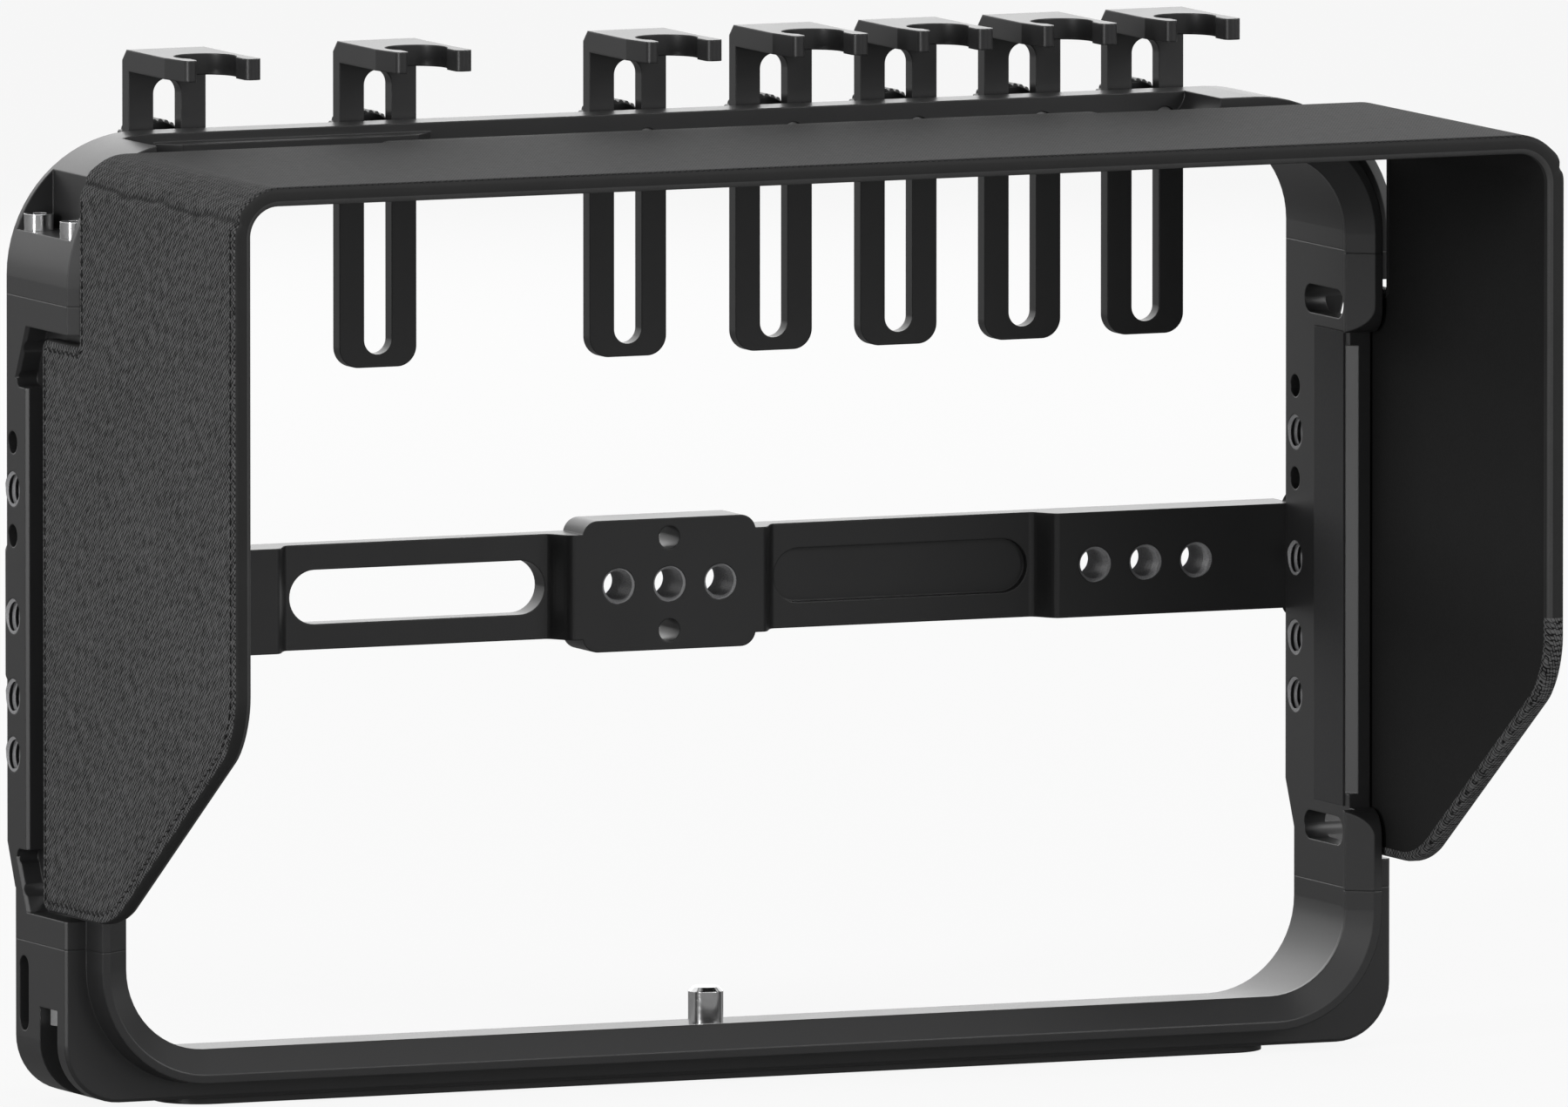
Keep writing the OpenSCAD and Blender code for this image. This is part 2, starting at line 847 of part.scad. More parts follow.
// Countersunk screw shape pointing up, with the face of its head at z = 0
module countersunk(shank_r, head_r, length) {
    cylinder(cross_head_h, head_r, shank_r);
    cylinder(length, shank_r, shank_r);
}

module crossbar_screws() {
    color("#3a3a3c") placed() for (side = [-1, 1]) {
        for (end = [-1, 1]) {
            translate([end * cross_screw_x, cross_y + end_t, mid_z + side * cross_screw_off]) {
                rotate([90, 0, 0]) difference() {
                    countersunk(screw_r, cross_head_r, cross_screw_len);
                    translate([0, 0, -cut]) cylinder(cut + pocket_deep, hex_r, hex_r, $fn = 6);
                }
            }
        }
    }
}

// Thread, neck and slotted head of the screw that holds the device
module lock_screw() {
    head_z = lock_sunk + lock_head_h;
    color("#d8d8da") placed() translate([0, lock_y, 0]) difference() {
        union() {
            translate([0, 0, lock_sunk]) cylinder(lock_head_h, lock_head_r, lock_head_r);
            cylinder_between(head_z - cut, room_z0 + washer_gap, lock_neck_r);
            cylinder_between(room_z0, lock_top - lock_tip, camera_r);
            translate([0, 0, lock_top - lock_tip]) {
                cylinder(lock_tip, camera_r, camera_r - lock_tip);
            }
        }
        translate([-lock_head_r - cut, -lock_slot_w / 2, lock_sunk - cut]) {
            cube([2 * (lock_head_r + cut), lock_slot_w, cut + lock_slot_d]);
        }
    }
}

module cylinder_between(z0, z1, r) {
    translate([0, 0, z0]) cylinder(z1 - z0, r, r);
}

module lock_washer() {
    washer_z = lock_sunk + lock_head_h + washer_gap;
    color("#e8e6e0") placed() translate([0, lock_y, washer_z]) difference() {
        cylinder(washer_t, washer_r, washer_r);
        translate([0, 0, -cut]) {
            cylinder(washer_t + 2 * cut, lock_neck_r + washer_gap / 2, lock_neck_r + washer_gap / 2);
        }
    }
}

// Places and bores of the clamps, counted from the left
function clamp_x(i) = clamp_shares[i] * out_hw;
function in_boss(i) = i < 2;
function stud_bore_front(i) = in_boss(i) ? blind_front : trough_back - cut;

// Slotted plate with a snap ring on a forward arm
module clamp_shape() {
    hw = clamp_w / 2;
    slot_hw = clamp_slot_w / 2;
    arm_z = clamp_top - arm_t;
    left_tip = ring_x - mouth_w / 2 - tip_r;
    right_tip = ring_x + mouth_w / 2 + tip_r;
    difference() {
        union() {
            depth(clamp_y0, clamp_y1) {
                outline(hw, clamp_low, clamp_top, clamp_corner, hair);
            }
            translate([0, 0, arm_z]) linear_extrude(arm_t) {
                difference() {
                    polygon([
                        [-hw, clamp_y1], [-hw, ring_y], [left_tip - tip_r, tip_y],
                        [right_tip + tip_r + flare, tip_y - flare], [hw, ring_y], [hw, clamp_y1]
                    ]);
                    translate([ring_x, ring_y]) circle(ring_r);
                    translate([ring_x - mouth_w / 2, 0]) square([mouth_w, ring_y]);
                }
                translate([left_tip, tip_y]) circle(tip_r);
                translate([right_tip, tip_y - flare]) circle(tip_r);
                translate([right_tip + flare, tip_y - flare]) circle(tip_r);
            }
        }
        depth(clamp_y0 - cut, clamp_y1 + cut) {
            plate2d([-slot_hw, clamp_low + slot_end], [slot_hw, arm_z - arm_room],
                    slot_hw - hair);
        }
        across(-hw - cut, hw + cut) {
            polygon([
                [clamp_y1 - clamp_slant, clamp_top + cut], [clamp_y1 - clamp_slant, clamp_top],
                [clamp_y1, clamp_top - clamp_slant], [clamp_y1 + cut, clamp_top - clamp_slant],
                [clamp_y1 + cut, clamp_top + cut]
            ]);
        }
    }
}

module cable_clamp(i) {
    color("#242426") placed() translate([clamp_x(i), 0, 0]) clamp_shape();
}

// Fluted thumb nut with a neck towards the plate and a dished face
module knob_shape() {
    rotate([-90, 0, 0]) difference() {
        union() {
            cylinder(knob_neck_t + cut, knob_neck_r, knob_neck_r);
            translate([0, 0, knob_neck_t]) {
                cylinder(knob_edge, knob_r - knob_edge, knob_r);
                translate([0, 0, knob_edge]) {
                    cylinder(knob_h - knob_neck_t - 2 * knob_edge, knob_r, knob_r);
                }
                translate([0, 0, knob_h - knob_neck_t - knob_edge]) {
                    cylinder(knob_edge, knob_r, knob_r - knob_edge);
                }
            }
        }
        for (i = [0 : flutes - 1]) {
            rotate([0, 0, (i + 1 / 2) * 360 / flutes]) {
                translate([knob_r, 0, knob_neck_t - cut]) {
                    cylinder(knob_h + 2 * cut, flute_r, flute_r, $fn = 4);
                }
            }
        }
        translate([0, 0, knob_h - knob_dish_d]) cylinder(knob_dish_d + cut, knob_dish_r, knob_dish_r);
        translate([0, 0, -cut]) cylinder(stud_in + cut, stud_r, stud_r);
    }
}

module clamp_knob(i) {
    color("#2a2a2c") placed() translate([clamp_x(i), knob_y0, stud_z]) knob_shape();
}

module knob_stud(i) {
    front = in_boss(i) ? blind_front + clamp_gap : stud_front;
    color("#b9b9bc") placed() y_bore(front, knob_y0 + stud_in, clamp_x(i), stud_z, stud_r);
}

// Point on a bend of the hood's side panel, drawn in side view
function bend_point(centre, r, angle) = [centre[0] - r * sin(angle), centre[1] - r * cos(angle)];

// Side view of the hood, every edge drawn in by the given amount
module hood_side(inset) {
    low_c = [-bend_f1, hood_low + bend_r1];
    front_c = [-(hood_reach - bend_r2), bend_z2];
    run = front_c - low_c;
    slope = atan2(run[1], -run[0]) + asin((bend_r1 - bend_r2) / norm(run));
    low_bend = bend_r1 - inset;
    front_bend = bend_r2 - inset;
    polygon([
        [hood_rear - inset, hood_low + inset], bend_point(low_c, low_bend, 0),
        bend_point(low_c, low_bend - bend_in, slope),
        bend_point(front_c, front_bend - bend_in, slope),
        bend_point(front_c, front_bend, 90), [-(hood_reach - inset), top_z],
        [hood_rear - inset, top_z]
    ]);
    translate(low_c) circle(low_bend);
    translate(front_c) circle(front_bend);
    plate2d([-bend_f1, hood_low + inset], [tab_rear - inset, tab_top - inset], tab_r);
}

// Layer of the hood between two depths in its wall, drawn in at its free edges
module hood_layer(outer, inner, inset) {
    out_r = hood_r - outer;
    in_r = hood_r - inner;
    intersection() {
        depth(-hood_reach - cut, tab_rear + cut) {
            difference() {
                outline(hood_out_hw - outer, hood_low - top_z, hood_top - outer, out_r, out_r);
                outline(hood_out_hw - inner, hood_low - top_z - cut, hood_top - inner, in_r, in_r);
            }
        }
        union() {
            across(-out_hw - cut, out_hw + cut) hood_side(inset);
            box([-top_tab_hw + inset, -cut, hood_under - cut],
                [top_tab_hw - inset, top_tab_rear - inset, top_z]);
        }
    }
}

module hood_cover() {
    color("#4b4b4e") placed() {
        difference() {
            hood_layer(0, hood_wall, 0);
            hood_layer(cloth_t, hood_wall + cut, cloth_t);
        }
    }
}

module hood_board() {
    color("#303032") placed() difference() {
        hood_layer(cloth_t, hood_wall - cloth_t, cloth_t);
        hood_magnet_shapes(hood_magnet_t + magnet_gap, magnet_r + magnet_gap);
    }
}

module hood_lining() {
    color("#171718") placed() hood_layer(hood_wall - cloth_t, hood_wall, cloth_t);
}

module hood_magnet_shapes(thick, r) {
    x0 = hood_in_hw + cloth_t;
    for (side = [0, 1]) {
        mirror([side, 0, 0]) {
            for (end = [-1, 1]) {
                x_bore(x0, x0 + thick, magnet_y, mid_z + end * magnet_off, r);
            }
        }
    }
}

module hood_magnets() {
    color("#b9b9bc") placed() hood_magnet_shapes(hood_magnet_t, magnet_r);
}

top_frame();
bottom_frame();
left_side_bar();
right_side_bar();
crossbar();
upper_frame_screws();
lower_frame_screws();
crossbar_screws();
left_pad();
right_pad();
frame_magnets();
lock_washer();
lock_screw();
hood_board();
hood_cover();
hood_lining();
hood_magnets();
for (i = [0 : len(clamp_shares) - 1]) {
    cable_clamp(i);
    clamp_knob(i);
    knob_stud(i);
}
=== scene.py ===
"""Looks of a streaming device cage: anodised frame, cloth sun hood, clamps and screws.

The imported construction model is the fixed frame. Every class below is one sub-assembly:
it holds its sizes, builds the pieces that only the eye needs, and dresses the nodes of
the frame that already have their true shape. All lengths are in metres.
"""

from __future__ import annotations

import json
import logging
import math
from dataclasses import dataclass
from enum import Enum
from typing import Callable, Iterable, Sequence

import bmesh
import bpy
from mathutils import Matrix, Vector

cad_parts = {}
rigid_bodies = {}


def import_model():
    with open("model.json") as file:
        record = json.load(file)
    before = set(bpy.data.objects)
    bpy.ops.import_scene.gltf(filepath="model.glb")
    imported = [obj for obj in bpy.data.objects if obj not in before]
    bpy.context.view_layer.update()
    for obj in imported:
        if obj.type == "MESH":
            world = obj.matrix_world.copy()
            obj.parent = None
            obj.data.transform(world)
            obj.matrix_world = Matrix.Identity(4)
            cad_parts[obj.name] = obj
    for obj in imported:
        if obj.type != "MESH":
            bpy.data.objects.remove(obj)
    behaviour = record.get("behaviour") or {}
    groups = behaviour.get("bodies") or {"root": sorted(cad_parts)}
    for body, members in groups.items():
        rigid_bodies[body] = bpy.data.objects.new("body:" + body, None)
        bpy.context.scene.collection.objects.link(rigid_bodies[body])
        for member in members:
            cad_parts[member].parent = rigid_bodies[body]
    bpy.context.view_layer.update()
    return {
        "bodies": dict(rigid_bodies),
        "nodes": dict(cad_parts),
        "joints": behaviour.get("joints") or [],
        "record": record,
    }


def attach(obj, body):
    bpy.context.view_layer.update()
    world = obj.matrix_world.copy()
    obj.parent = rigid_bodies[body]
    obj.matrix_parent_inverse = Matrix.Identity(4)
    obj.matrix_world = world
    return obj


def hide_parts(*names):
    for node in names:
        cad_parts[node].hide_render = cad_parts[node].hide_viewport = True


LOG = logging.getLogger("cage")
MM = 0.001

Colour = tuple[float, float, float]
Point = tuple[float, float, float]

ALONG: Point = (1.0, 0.0, 0.0)
DEEP: Point = (0.0, 1.0, 0.0)


# Shader maths


def grey(shade: float, blue: float = 1.0) -> Colour:
    """A grey whose blue part is scaled."""
    return shade, shade, shade * blue


class Signal:
    """An output socket that takes part in arithmetic, each operation adding a Math node."""

    def __init__(self, graph: Graph, socket: bpy.types.NodeSocket) -> None:
        """Wraps a socket.

        Args:
            graph: The graph that new nodes go into.
            socket: The output socket that carries the value.
        """
        self.graph = graph
        self.socket = socket

    def __add__(self, other: Signal | float) -> Signal:
        """Sum."""
        return self.graph.math("ADD", self, other)

    def __sub__(self, other: Signal | float) -> Signal:
        """Difference."""
        return self.graph.math("SUBTRACT", self, other)

    def __rsub__(self, other: float) -> Signal:
        """Difference with the number first."""
        return self.graph.math("SUBTRACT", other, self)

    def __mul__(self, other: Signal | float) -> Signal:
        """Product."""
        return self.graph.math("MULTIPLY", self, other)

    def sine(self) -> Signal:
        """Sine of a value in radians."""
        return self.graph.math("SINE", self)

    def size(self) -> Signal:
        """Absolute value."""
        return self.graph.math("ABSOLUTE", self)

    def above(self, limit: float) -> Signal:
        """1 where the value is above the limit, else 0."""
        return self.graph.math("GREATER_THAN", self, limit)

    def step(self, low: float, high: float) -> Signal:
        """Smooth rise from 0 at low to 1 at high."""
        inputs = {"Value": self, "From Min": low, "From Max": high, "To Min": 0.0, "To Max": 1.0}
        node = self.graph.node("ShaderNodeMapRange", inputs, interpolation_type="SMOOTHSTEP")
        return Signal(self.graph, node.outputs["Result"])


class Graph:
    """The node tree of one material or world, with one method that adds any node."""

    MIX_SHARE = 0
    MIX_LOW = 6
    MIX_HIGH = 7
    MIX_RESULT = 2

    def __init__(self, tree: bpy.types.NodeTree) -> None:
        """Empties the tree and keeps it.

        Args:
            tree: The node tree to build in.
        """
        self.tree = tree
        tree.nodes.clear()

    def node(self, kind: str, inputs: dict | None = None, **settings: object) -> bpy.types.Node:
        """Adds a node.

        Args:
            kind: The node's type name.
            inputs: Plain values, signals or sockets by input name or number. A colour has
                three parts.
            settings: Properties of the node, set before its inputs.

        Returns:
            The new node.
        """
        node = self.tree.nodes.new(kind)
        for name, value in settings.items():
            setattr(node, name, value)
        for name, value in (inputs or {}).items():
            socket = node.inputs[name]
            source = value.socket if isinstance(value, Signal) else value
            if isinstance(source, bpy.types.NodeSocket):
                self.tree.links.new(source, socket)
            elif socket.type == "RGBA":
                socket.default_value = (*source, 1.0)
            else:
                socket.default_value = source
        return node

    def math(self, operation: str, *values: Signal | float) -> Signal:
        """Adds a Math node.

        Args:
            operation: The node's operation.
            values: Its inputs in order.

        Returns:
            The result as a signal.
        """
        made = self.node("ShaderNodeMath", dict(enumerate(values)), operation=operation)
        return Signal(self, made.outputs[0])

    def mix(self, share: Signal, low: Colour, high: Colour) -> bpy.types.NodeSocket:
        """Mixes two colours.

        Args:
            share: How much of the second colour shows.
            low: First colour.
            high: Second colour.

        Returns:
            The mixed colour.
        """
        parts = {self.MIX_SHARE: share, self.MIX_LOW: low, self.MIX_HIGH: high}
        return self.node("ShaderNodeMix", parts, data_type="RGBA").outputs[self.MIX_RESULT]

    def blend(self, share: Signal, low: bpy.types.Node, high: bpy.types.Node) -> bpy.types.Node:
        """Mixes two shaders.

        Args:
            share: How much of the second shader shows.
            low: First shader.
            high: Second shader.

        Returns:
            The mixed shader.
        """
        return self.node("ShaderNodeMixShader", {0: share, 1: low.outputs[0], 2: high.outputs[0]})

    def place(self) -> bpy.types.NodeSocket:
        """The object's own coordinates."""
        return self.node("ShaderNodeTexCoord").outputs["Object"]

    def rays(self) -> tuple[Signal, Signal, Signal]:
        """Three signals that are 1 for a ray of the camera, of a mirror or through glass."""
        path = self.node("ShaderNodeLightPath")
        kinds = ("Is Camera Ray", "Is Glossy Ray", "Is Transmission Ray")
        return tuple(Signal(self, path.outputs[kind]) for kind in kinds)

    def stretched(
        self, vector: bpy.types.NodeSocket, scale: Point, turn: float = 0.0
    ) -> bpy.types.NodeSocket:
        """Coordinates turned about Z, then scaled.

        Args:
            vector: The coordinates to start from.
            scale: Factor along each axis.
            turn: Turn about Z in radians.

        Returns:
            The new coordinates.
        """
        inputs = {"Vector": vector, "Scale": scale, "Rotation": (0.0, 0.0, turn)}
        return self.node("ShaderNodeMapping", inputs).outputs["Vector"]

    def noise(self, vector: bpy.types.NodeSocket, density: float, detail: float = 2.0) -> Signal:
        """Noise from 0 to 1 with about this many grains along a metre."""
        inputs = {"Vector": vector, "Scale": density, "Detail": detail}
        return Signal(self, self.node("ShaderNodeTexNoise", inputs).outputs["Fac"])

    def axes(self, vector: bpy.types.NodeSocket) -> tuple[Signal, Signal, Signal]:
        """The three parts of a vector."""
        made = self.node("ShaderNodeSeparateXYZ", {"Vector": vector})
        return tuple(Signal(self, output) for output in made.outputs)

    def bevelled(self, radius: float) -> bpy.types.NodeSocket:
        """The surface's normal with its sharp edges rounded off."""
        return self.node("ShaderNodeBevel", {"Radius": radius}, samples=6).outputs["Normal"]

    def bump(
        self, height: Signal, depth: float, under: bpy.types.NodeSocket | None = None
    ) -> bpy.types.NodeSocket:
        """The normal of a surface with a relief.

        Args:
            height: The relief, from 0 to 1.
            depth: What a height of 1 measures, in metres.
            under: The normal that the relief lies on.

        Returns:
            The new normal.
        """
        inputs = {"Height": height, "Distance": depth, "Strength": 1.0}
        if under is not None:
            inputs["Normal"] = under
        return self.node("ShaderNodeBump", inputs).outputs["Normal"]

    def surface(self, shader: bpy.types.Node) -> None:
        """Makes a shader the output of the material."""
        self.node("ShaderNodeOutputMaterial", {"Surface": shader.outputs[0]})

    def coat(self, inputs: dict) -> None:
        """Makes a principled shader with these inputs the output of the material."""
        self.surface(self.node("ShaderNodeBsdfPrincipled", inputs))


def new_material(name: str) -> tuple[bpy.types.Material, Graph]:
    """A new material and its empty graph."""
    material = bpy.data.materials.new(name)
    material.use_nodes = True
    return material, Graph(material.node_tree)


# Modelling by hand tools


def stand_alone(piece: bpy.types.Object) -> None:
    """Makes a piece the only selected object and the active one."""
    bpy.ops.object.select_all(action="DESELECT")
    piece.select_set(True)
    bpy.context.view_layer.objects.active = piece


class Bench:
    """One session in edit mode, in which parts of a piece are chosen by their place."""

    def __init__(self, piece: bpy.types.Object) -> None:
        """Keeps the piece.

        Args:
            piece: The mesh object to work on.
        """
        self.piece = piece

    def __enter__(self) -> "Bench":
        """Opens the piece in edit mode."""
        stand_alone(self.piece)
        bpy.ops.object.mode_set(mode="EDIT")
        return self

    def __exit__(self, *_: object) -> None:
        """Goes back to object mode."""
        bpy.ops.object.mode_set(mode="OBJECT")

    def _choose(self, kind: str, test: Callable[[object], bool]) -> None:
        """Selects the elements of one kind that pass the test."""
        bpy.ops.mesh.select_mode(type=kind)
        bpy.ops.mesh.select_all(action="DESELECT")
        form = bmesh.from_edit_mesh(self.piece.data)
        for item in {"VERT": form.verts, "EDGE": form.edges, "FACE": form.faces}[kind]:
            if test(item):
                item.select_set(True)
        form.select_flush_mode()
        bmesh.update_edit_mesh(self.piece.data)

    def points(self, test: Callable[[Vector], bool]) -> None:
        """Selects the vertices whose place passes the test."""
        self._choose("VERT", lambda item: test(item.co))

    def lines(self, test: Callable[[Vector], bool]) -> None:
        """Selects the edges of which both ends pass the test."""
        self._choose("EDGE", lambda item: all(test(end.co) for end in item.verts))

    def faces(self, test: Callable[[Vector, Vector], bool]) -> None:
        """Selects the faces whose middle and normal pass the test."""
        self._choose("FACE", lambda item: test(item.calc_center_median(), item.normal))

    def cut(self, at: Point, across: Point, clear: bool = False, fill: bool = False) -> None:
        """Cuts the whole piece by a plane.

        Args:
            at: A point of the plane.
            across: The plane's normal.
            clear: True to remove what lies on the normal's side.
            fill: True to close the cut with a face.
        """
        bpy.ops.mesh.select_all(action="SELECT")
        bpy.ops.mesh.bisect(plane_co=at, plane_no=across, clear_outer=clear, use_fill=fill)


def apply_modifiers(piece: bpy.types.Object) -> None:
    """Applies all modifiers of a piece."""
    stand_alone(piece)
    for modifier in list(piece.modifiers):
        bpy.ops.object.modifier_apply(modifier=modifier.name)


def place_in_mesh(piece: bpy.types.Object) -> None:
    """Moves the place of a piece from its object into its mesh."""
    stand_alone(piece)
    bpy.ops.object.transform_apply(location=True, rotation=True, scale=True)


def copy_of(piece: bpy.types.Object, name: str) -> bpy.types.Object:
    """A copy of a piece with its own mesh."""
    made = piece.copy()
    made.data = piece.data.copy()
    made.name = name
    made.data.name = name
    bpy.context.scene.collection.objects.link(made)
    return made


def joined(pieces: Sequence[bpy.types.Object], name: str) -> bpy.types.Object:
    """Joins pieces to one, with its place in its mesh.

    Args:
        pieces: The pieces, which are used up.
        name: The name of the one piece.

    Returns:
        The joined piece.
    """
    stand_alone(pieces[0])
    for piece in pieces:
        piece.select_set(True)
    bpy.ops.object.join()
    made = bpy.context.view_layer.objects.active
    made.name = name
    made.data.name = name
    place_in_mesh(made)
    return made


def smooth(piece: bpy.types.Object, degrees: float = 35.0) -> None:
    """Shades a piece smooth, apart from edges sharper than the angle."""
    stand_alone(piece)
    bpy.ops.object.shade_smooth_by_angle(angle=math.radians(degrees))


# Finishes


@dataclass(frozen=True)
class Anodised:
    """Bead-blasted and anodised aluminium with slightly worn edges."""

    name: str
    shade: float
    roughness: float = 0.36
    edge: float = 0.35 * MM
    gloss: float = 0.5
    grains: float = 5200.0
    clouds: float = 60.0
    relief: float = 0.004 * MM

    def build(self) -> bpy.types.Material:
        """Makes the material."""
        material, graph = new_material(self.name)
        place = graph.place()
        grain = graph.noise(place, self.grains)
        cloud = graph.noise(place, self.clouds, 3.0)
        spread = grain * 0.6 + cloud * 0.4
        graph.coat(
            {
                "Base Color": graph.mix(spread, grey(self.shade * 0.8, 1.03), grey(self.shade * 1.25, 1.02)),
                "Roughness": grain * 0.10 + cloud * 0.06 + (self.roughness - 0.08),
                "Normal": graph.bump(grain, self.relief, graph.bevelled(self.edge)),
                "Specular IOR Level": self.gloss,
            }
        )
        return material


@dataclass(frozen=True)
class Plated:
    """Plated or plain steel."""

    name: str
    shade: float
    roughness: float = 0.16
    edge: float = 0.15 * MM
    clouds: float = 900.0

    def build(self) -> bpy.types.Material:
        """Makes the material."""
        material, graph = new_material(self.name)
        cloud = graph.noise(graph.place(), self.clouds)
        graph.coat(
            {
                "Base Color": graph.mix(cloud, grey(self.shade * 0.9), grey(self.shade, 1.01)),
                "Metallic": 1.0,
                "Roughness": cloud * 0.08 + (self.roughness - 0.04),
                "Normal": graph.bevelled(self.edge),
            }
        )
        return material


@dataclass(frozen=True)
class Moulded:
    """Rubber, nylon or foam board with a fine skin."""

    name: str
    colour: Colour
    roughness: float
    grains: float = 1800.0
    edge: float = 0.2 * MM
    relief: float = 0.02 * MM

    def build(self) -> bpy.types.Material:
        """Makes the material."""
        material, graph = new_material(self.name)
        grain = graph.noise(graph.place(), self.grains, 3.0)
        dark = tuple(part * 0.85 for part in self.colour)
        light = tuple(min(1.0, part * 1.15) for part in self.colour)
        graph.coat(
            {
                "Base Color": graph.mix(grain, dark, light),
                "Roughness": grain * 0.12 + (self.roughness - 0.06),
                "Normal": graph.bump(grain, self.relief, graph.bevelled(self.edge)),
            }
        )
        return material


@dataclass(frozen=True)
class Crease:
    """The wavy crease of the hood's cloth beside each rolled corner, on the flat wall, with painted shade
    along its valley.
    """

    at: float = 131.3 * MM
    middle: float = -34.85 * MM
    lean: float = 0.014
    waves: tuple[tuple[float, float], ...] = ((0.34 * MM, 4.3 * MM), (0.22 * MM, 1.7 * MM))
    depth: float = 0.42 * MM
    width: float = 0.75 * MM
    ridge_height: float = 0.2 * MM
    ridge_away: float = 2.3 * MM
    ridge_width: float = 1.3 * MM
    # Widths over which the crease's painted shadow fades out.
    shadow: tuple[float, float] = (0.05 * MM, 0.85 * MM)

    def relief(self, flat: Vector) -> float:
        """Height of the cloth over the smooth wall: the valley, and the ridge above it."""
        wave = sum(height * math.sin(flat.y / length) for height, length in self.waves)
        across = abs(flat.x) - self.at + self.lean * (flat.y - self.middle) - wave
        valley = self.depth * math.exp(-((across / self.width) ** 2))
        ridge = self.ridge_height * math.exp(-(((across + self.ridge_away) / self.ridge_width) ** 2))
        return ridge - valley

    def shade(self, run: Signal, deep: Signal) -> Signal:
        """Signal that rises to 1 on the crease, from the flat wall's coordinates; the cloth darkens there
        with it as painted shade.
        """
        long, short = ((deep * (1.0 / length)).sine() * height for height, length in self.waves)
        beside = run.size() - self.at + (deep - self.middle) * self.lean - (long + short)
        return 1.0 - beside.size().step(*self.shadow)


@dataclass(frozen=True)
class Cloth:
    """Coated nylon cloth whose weave follows the piece's flat pattern."""

    name: str
    shade: float
    crease: Crease = Crease()
    pitch: float = 0.8 * MM
    turn: float = -0.76
    relief: float = 0.06 * MM
    smooth_to: float = 118.8 * MM
    coarse_from: float = 130.8 * MM
    wobbles: float = 90.0
    slubs: float = 1900.0
    slub_stretch: Point = (1.0, 0.2, 1.0)
    patches: float = 45.0

    def build(self) -> bpy.types.Material:
        """Makes the material."""
        material, graph = new_material(self.name)
        flat = graph.node("ShaderNodeUVMap", uv_map="flat").outputs["UV"]
        turned = graph.stretched(flat, (1.0, 1.0, 1.0), self.turn)
        across, along, _ = graph.axes(turned)
        wobble = graph.noise(flat, self.wobbles, 3.0) * 2.2
        thread = math.pi / self.pitch
        warp = (across * thread + wobble).sine()
        weft = (along * thread + wobble).sine()
        over = (warp * weft).above(0.0)
        height = warp.size() * over + weft.size() * (1.0 - over)
        slub = graph.noise(graph.stretched(turned, self.slub_stretch), self.slubs)
        patch = graph.noise(flat, self.patches, 3.0)
        run, deep, _ = graph.axes(flat)
        coarse = run.size().step(self.smooth_to, self.coarse_from)
        strength = coarse * 0.85 + 0.15
        woven = height * 1.6 + slub * 2.8 + patch * 0.3 - 2.57
        # Painted shade: the crease darkens the cloth's tone by up to 0.6.
        tone = (woven * strength + coarse * 0.32 + 0.12) * (1.0 - self.crease.shade(run, deep) * 0.6)
        graph.coat(
            {
                "Base Color": graph.mix(tone, grey(self.shade * 0.1, 1.02), grey(self.shade * 2.0, 1.01)),
                "Roughness": 0.85 - height * 0.2,
                "Specular IOR Level": 0.08,
                "Sheen Weight": 0.03,
                "Normal": graph.bump((height * 0.8 + slub * 0.2) * strength, self.relief),
            }
        )
        return material


@dataclass(frozen=True)
class SmoothCoated:
    """Smooth coated cloth of the rims and the lining, and the thread of the stitches."""

    name: str
    shade: float
    roughness: float = 0.6
    grains: float = 2600.0
    clouds: float = 120.0
    relief: float = 0.015 * MM

    def build(self) -> bpy.types.Material:
        """Makes the material."""
        material, graph = new_material(self.name)
        place = graph.place()
        grain = graph.noise(place, self.grains, 3.0)
        cloud = graph.noise(place, self.clouds)
        spread = grain * 0.5 + cloud * 0.5
        graph.coat(
            {
                "Base Color": graph.mix(spread, grey(self.shade * 0.75), grey(self.shade * 1.3)),
                "Roughness": grain * 0.14 + (self.roughness - 0.07),
                "Specular IOR Level": 0.2,
                "Normal": graph.bump(grain, self.relief),
            }
        )
        return material


Finish = Anodised | Plated | Moulded | Cloth | SmoothCoated

FRAME_METAL = Anodised("black_anodised_frame", 0.019)
CLAMP_METAL = Anodised("black_anodised_clamp", 0.020)
KNOB_METAL = Anodised("black_anodised_knob", 0.014, roughness=0.3, gloss=0.4)
# The threads are the frame's black anodised metal; their light grey colour is a painted highlight on the
# crests.
THREAD_METAL_PAINTED_HIGHLIGHT = Anodised("anodised_thread_painted_highlight", 0.3, roughness=0.28, edge=0.05 * MM, gloss=0.8)
BRIGHT_STEEL = Plated("bright_nickel", 0.85)
STUD_STEEL = Plated("stud_steel", 0.35, roughness=0.3)
BLACK_STEEL = Plated("black_oxide_steel", 0.06, roughness=0.35)
MAGNET_STEEL = Plated("nickel_magnet", 0.6, roughness=0.25)
PAD_RUBBER = Moulded("pad_rubber", (0.018, 0.018, 0.019), 0.7)
WASHER_NYLON = Moulded("washer_nylon", (0.8, 0.79, 0.75), 0.45, grains=900.0)
HOOD_BOARD = Moulded("hood_board", (0.05, 0.05, 0.052), 0.8, grains=700.0)
HOOD_CLOTH = Cloth("hood_woven_cloth", 0.062)
# The rims are the cover's own cloth; this darker colour on them is painted shade.
HOOD_RIM_SHADE = SmoothCoated("hood_rim_painted_shade", 0.018)
HOOD_HEM = SmoothCoated("hood_inner_hem", 0.05, roughness=0.5)
HOOD_LINING = SmoothCoated("hood_black_lining", 0.007, roughness=0.75)
STITCH_THREAD = SmoothCoated("stitch_thread", 0.008, roughness=0.5)


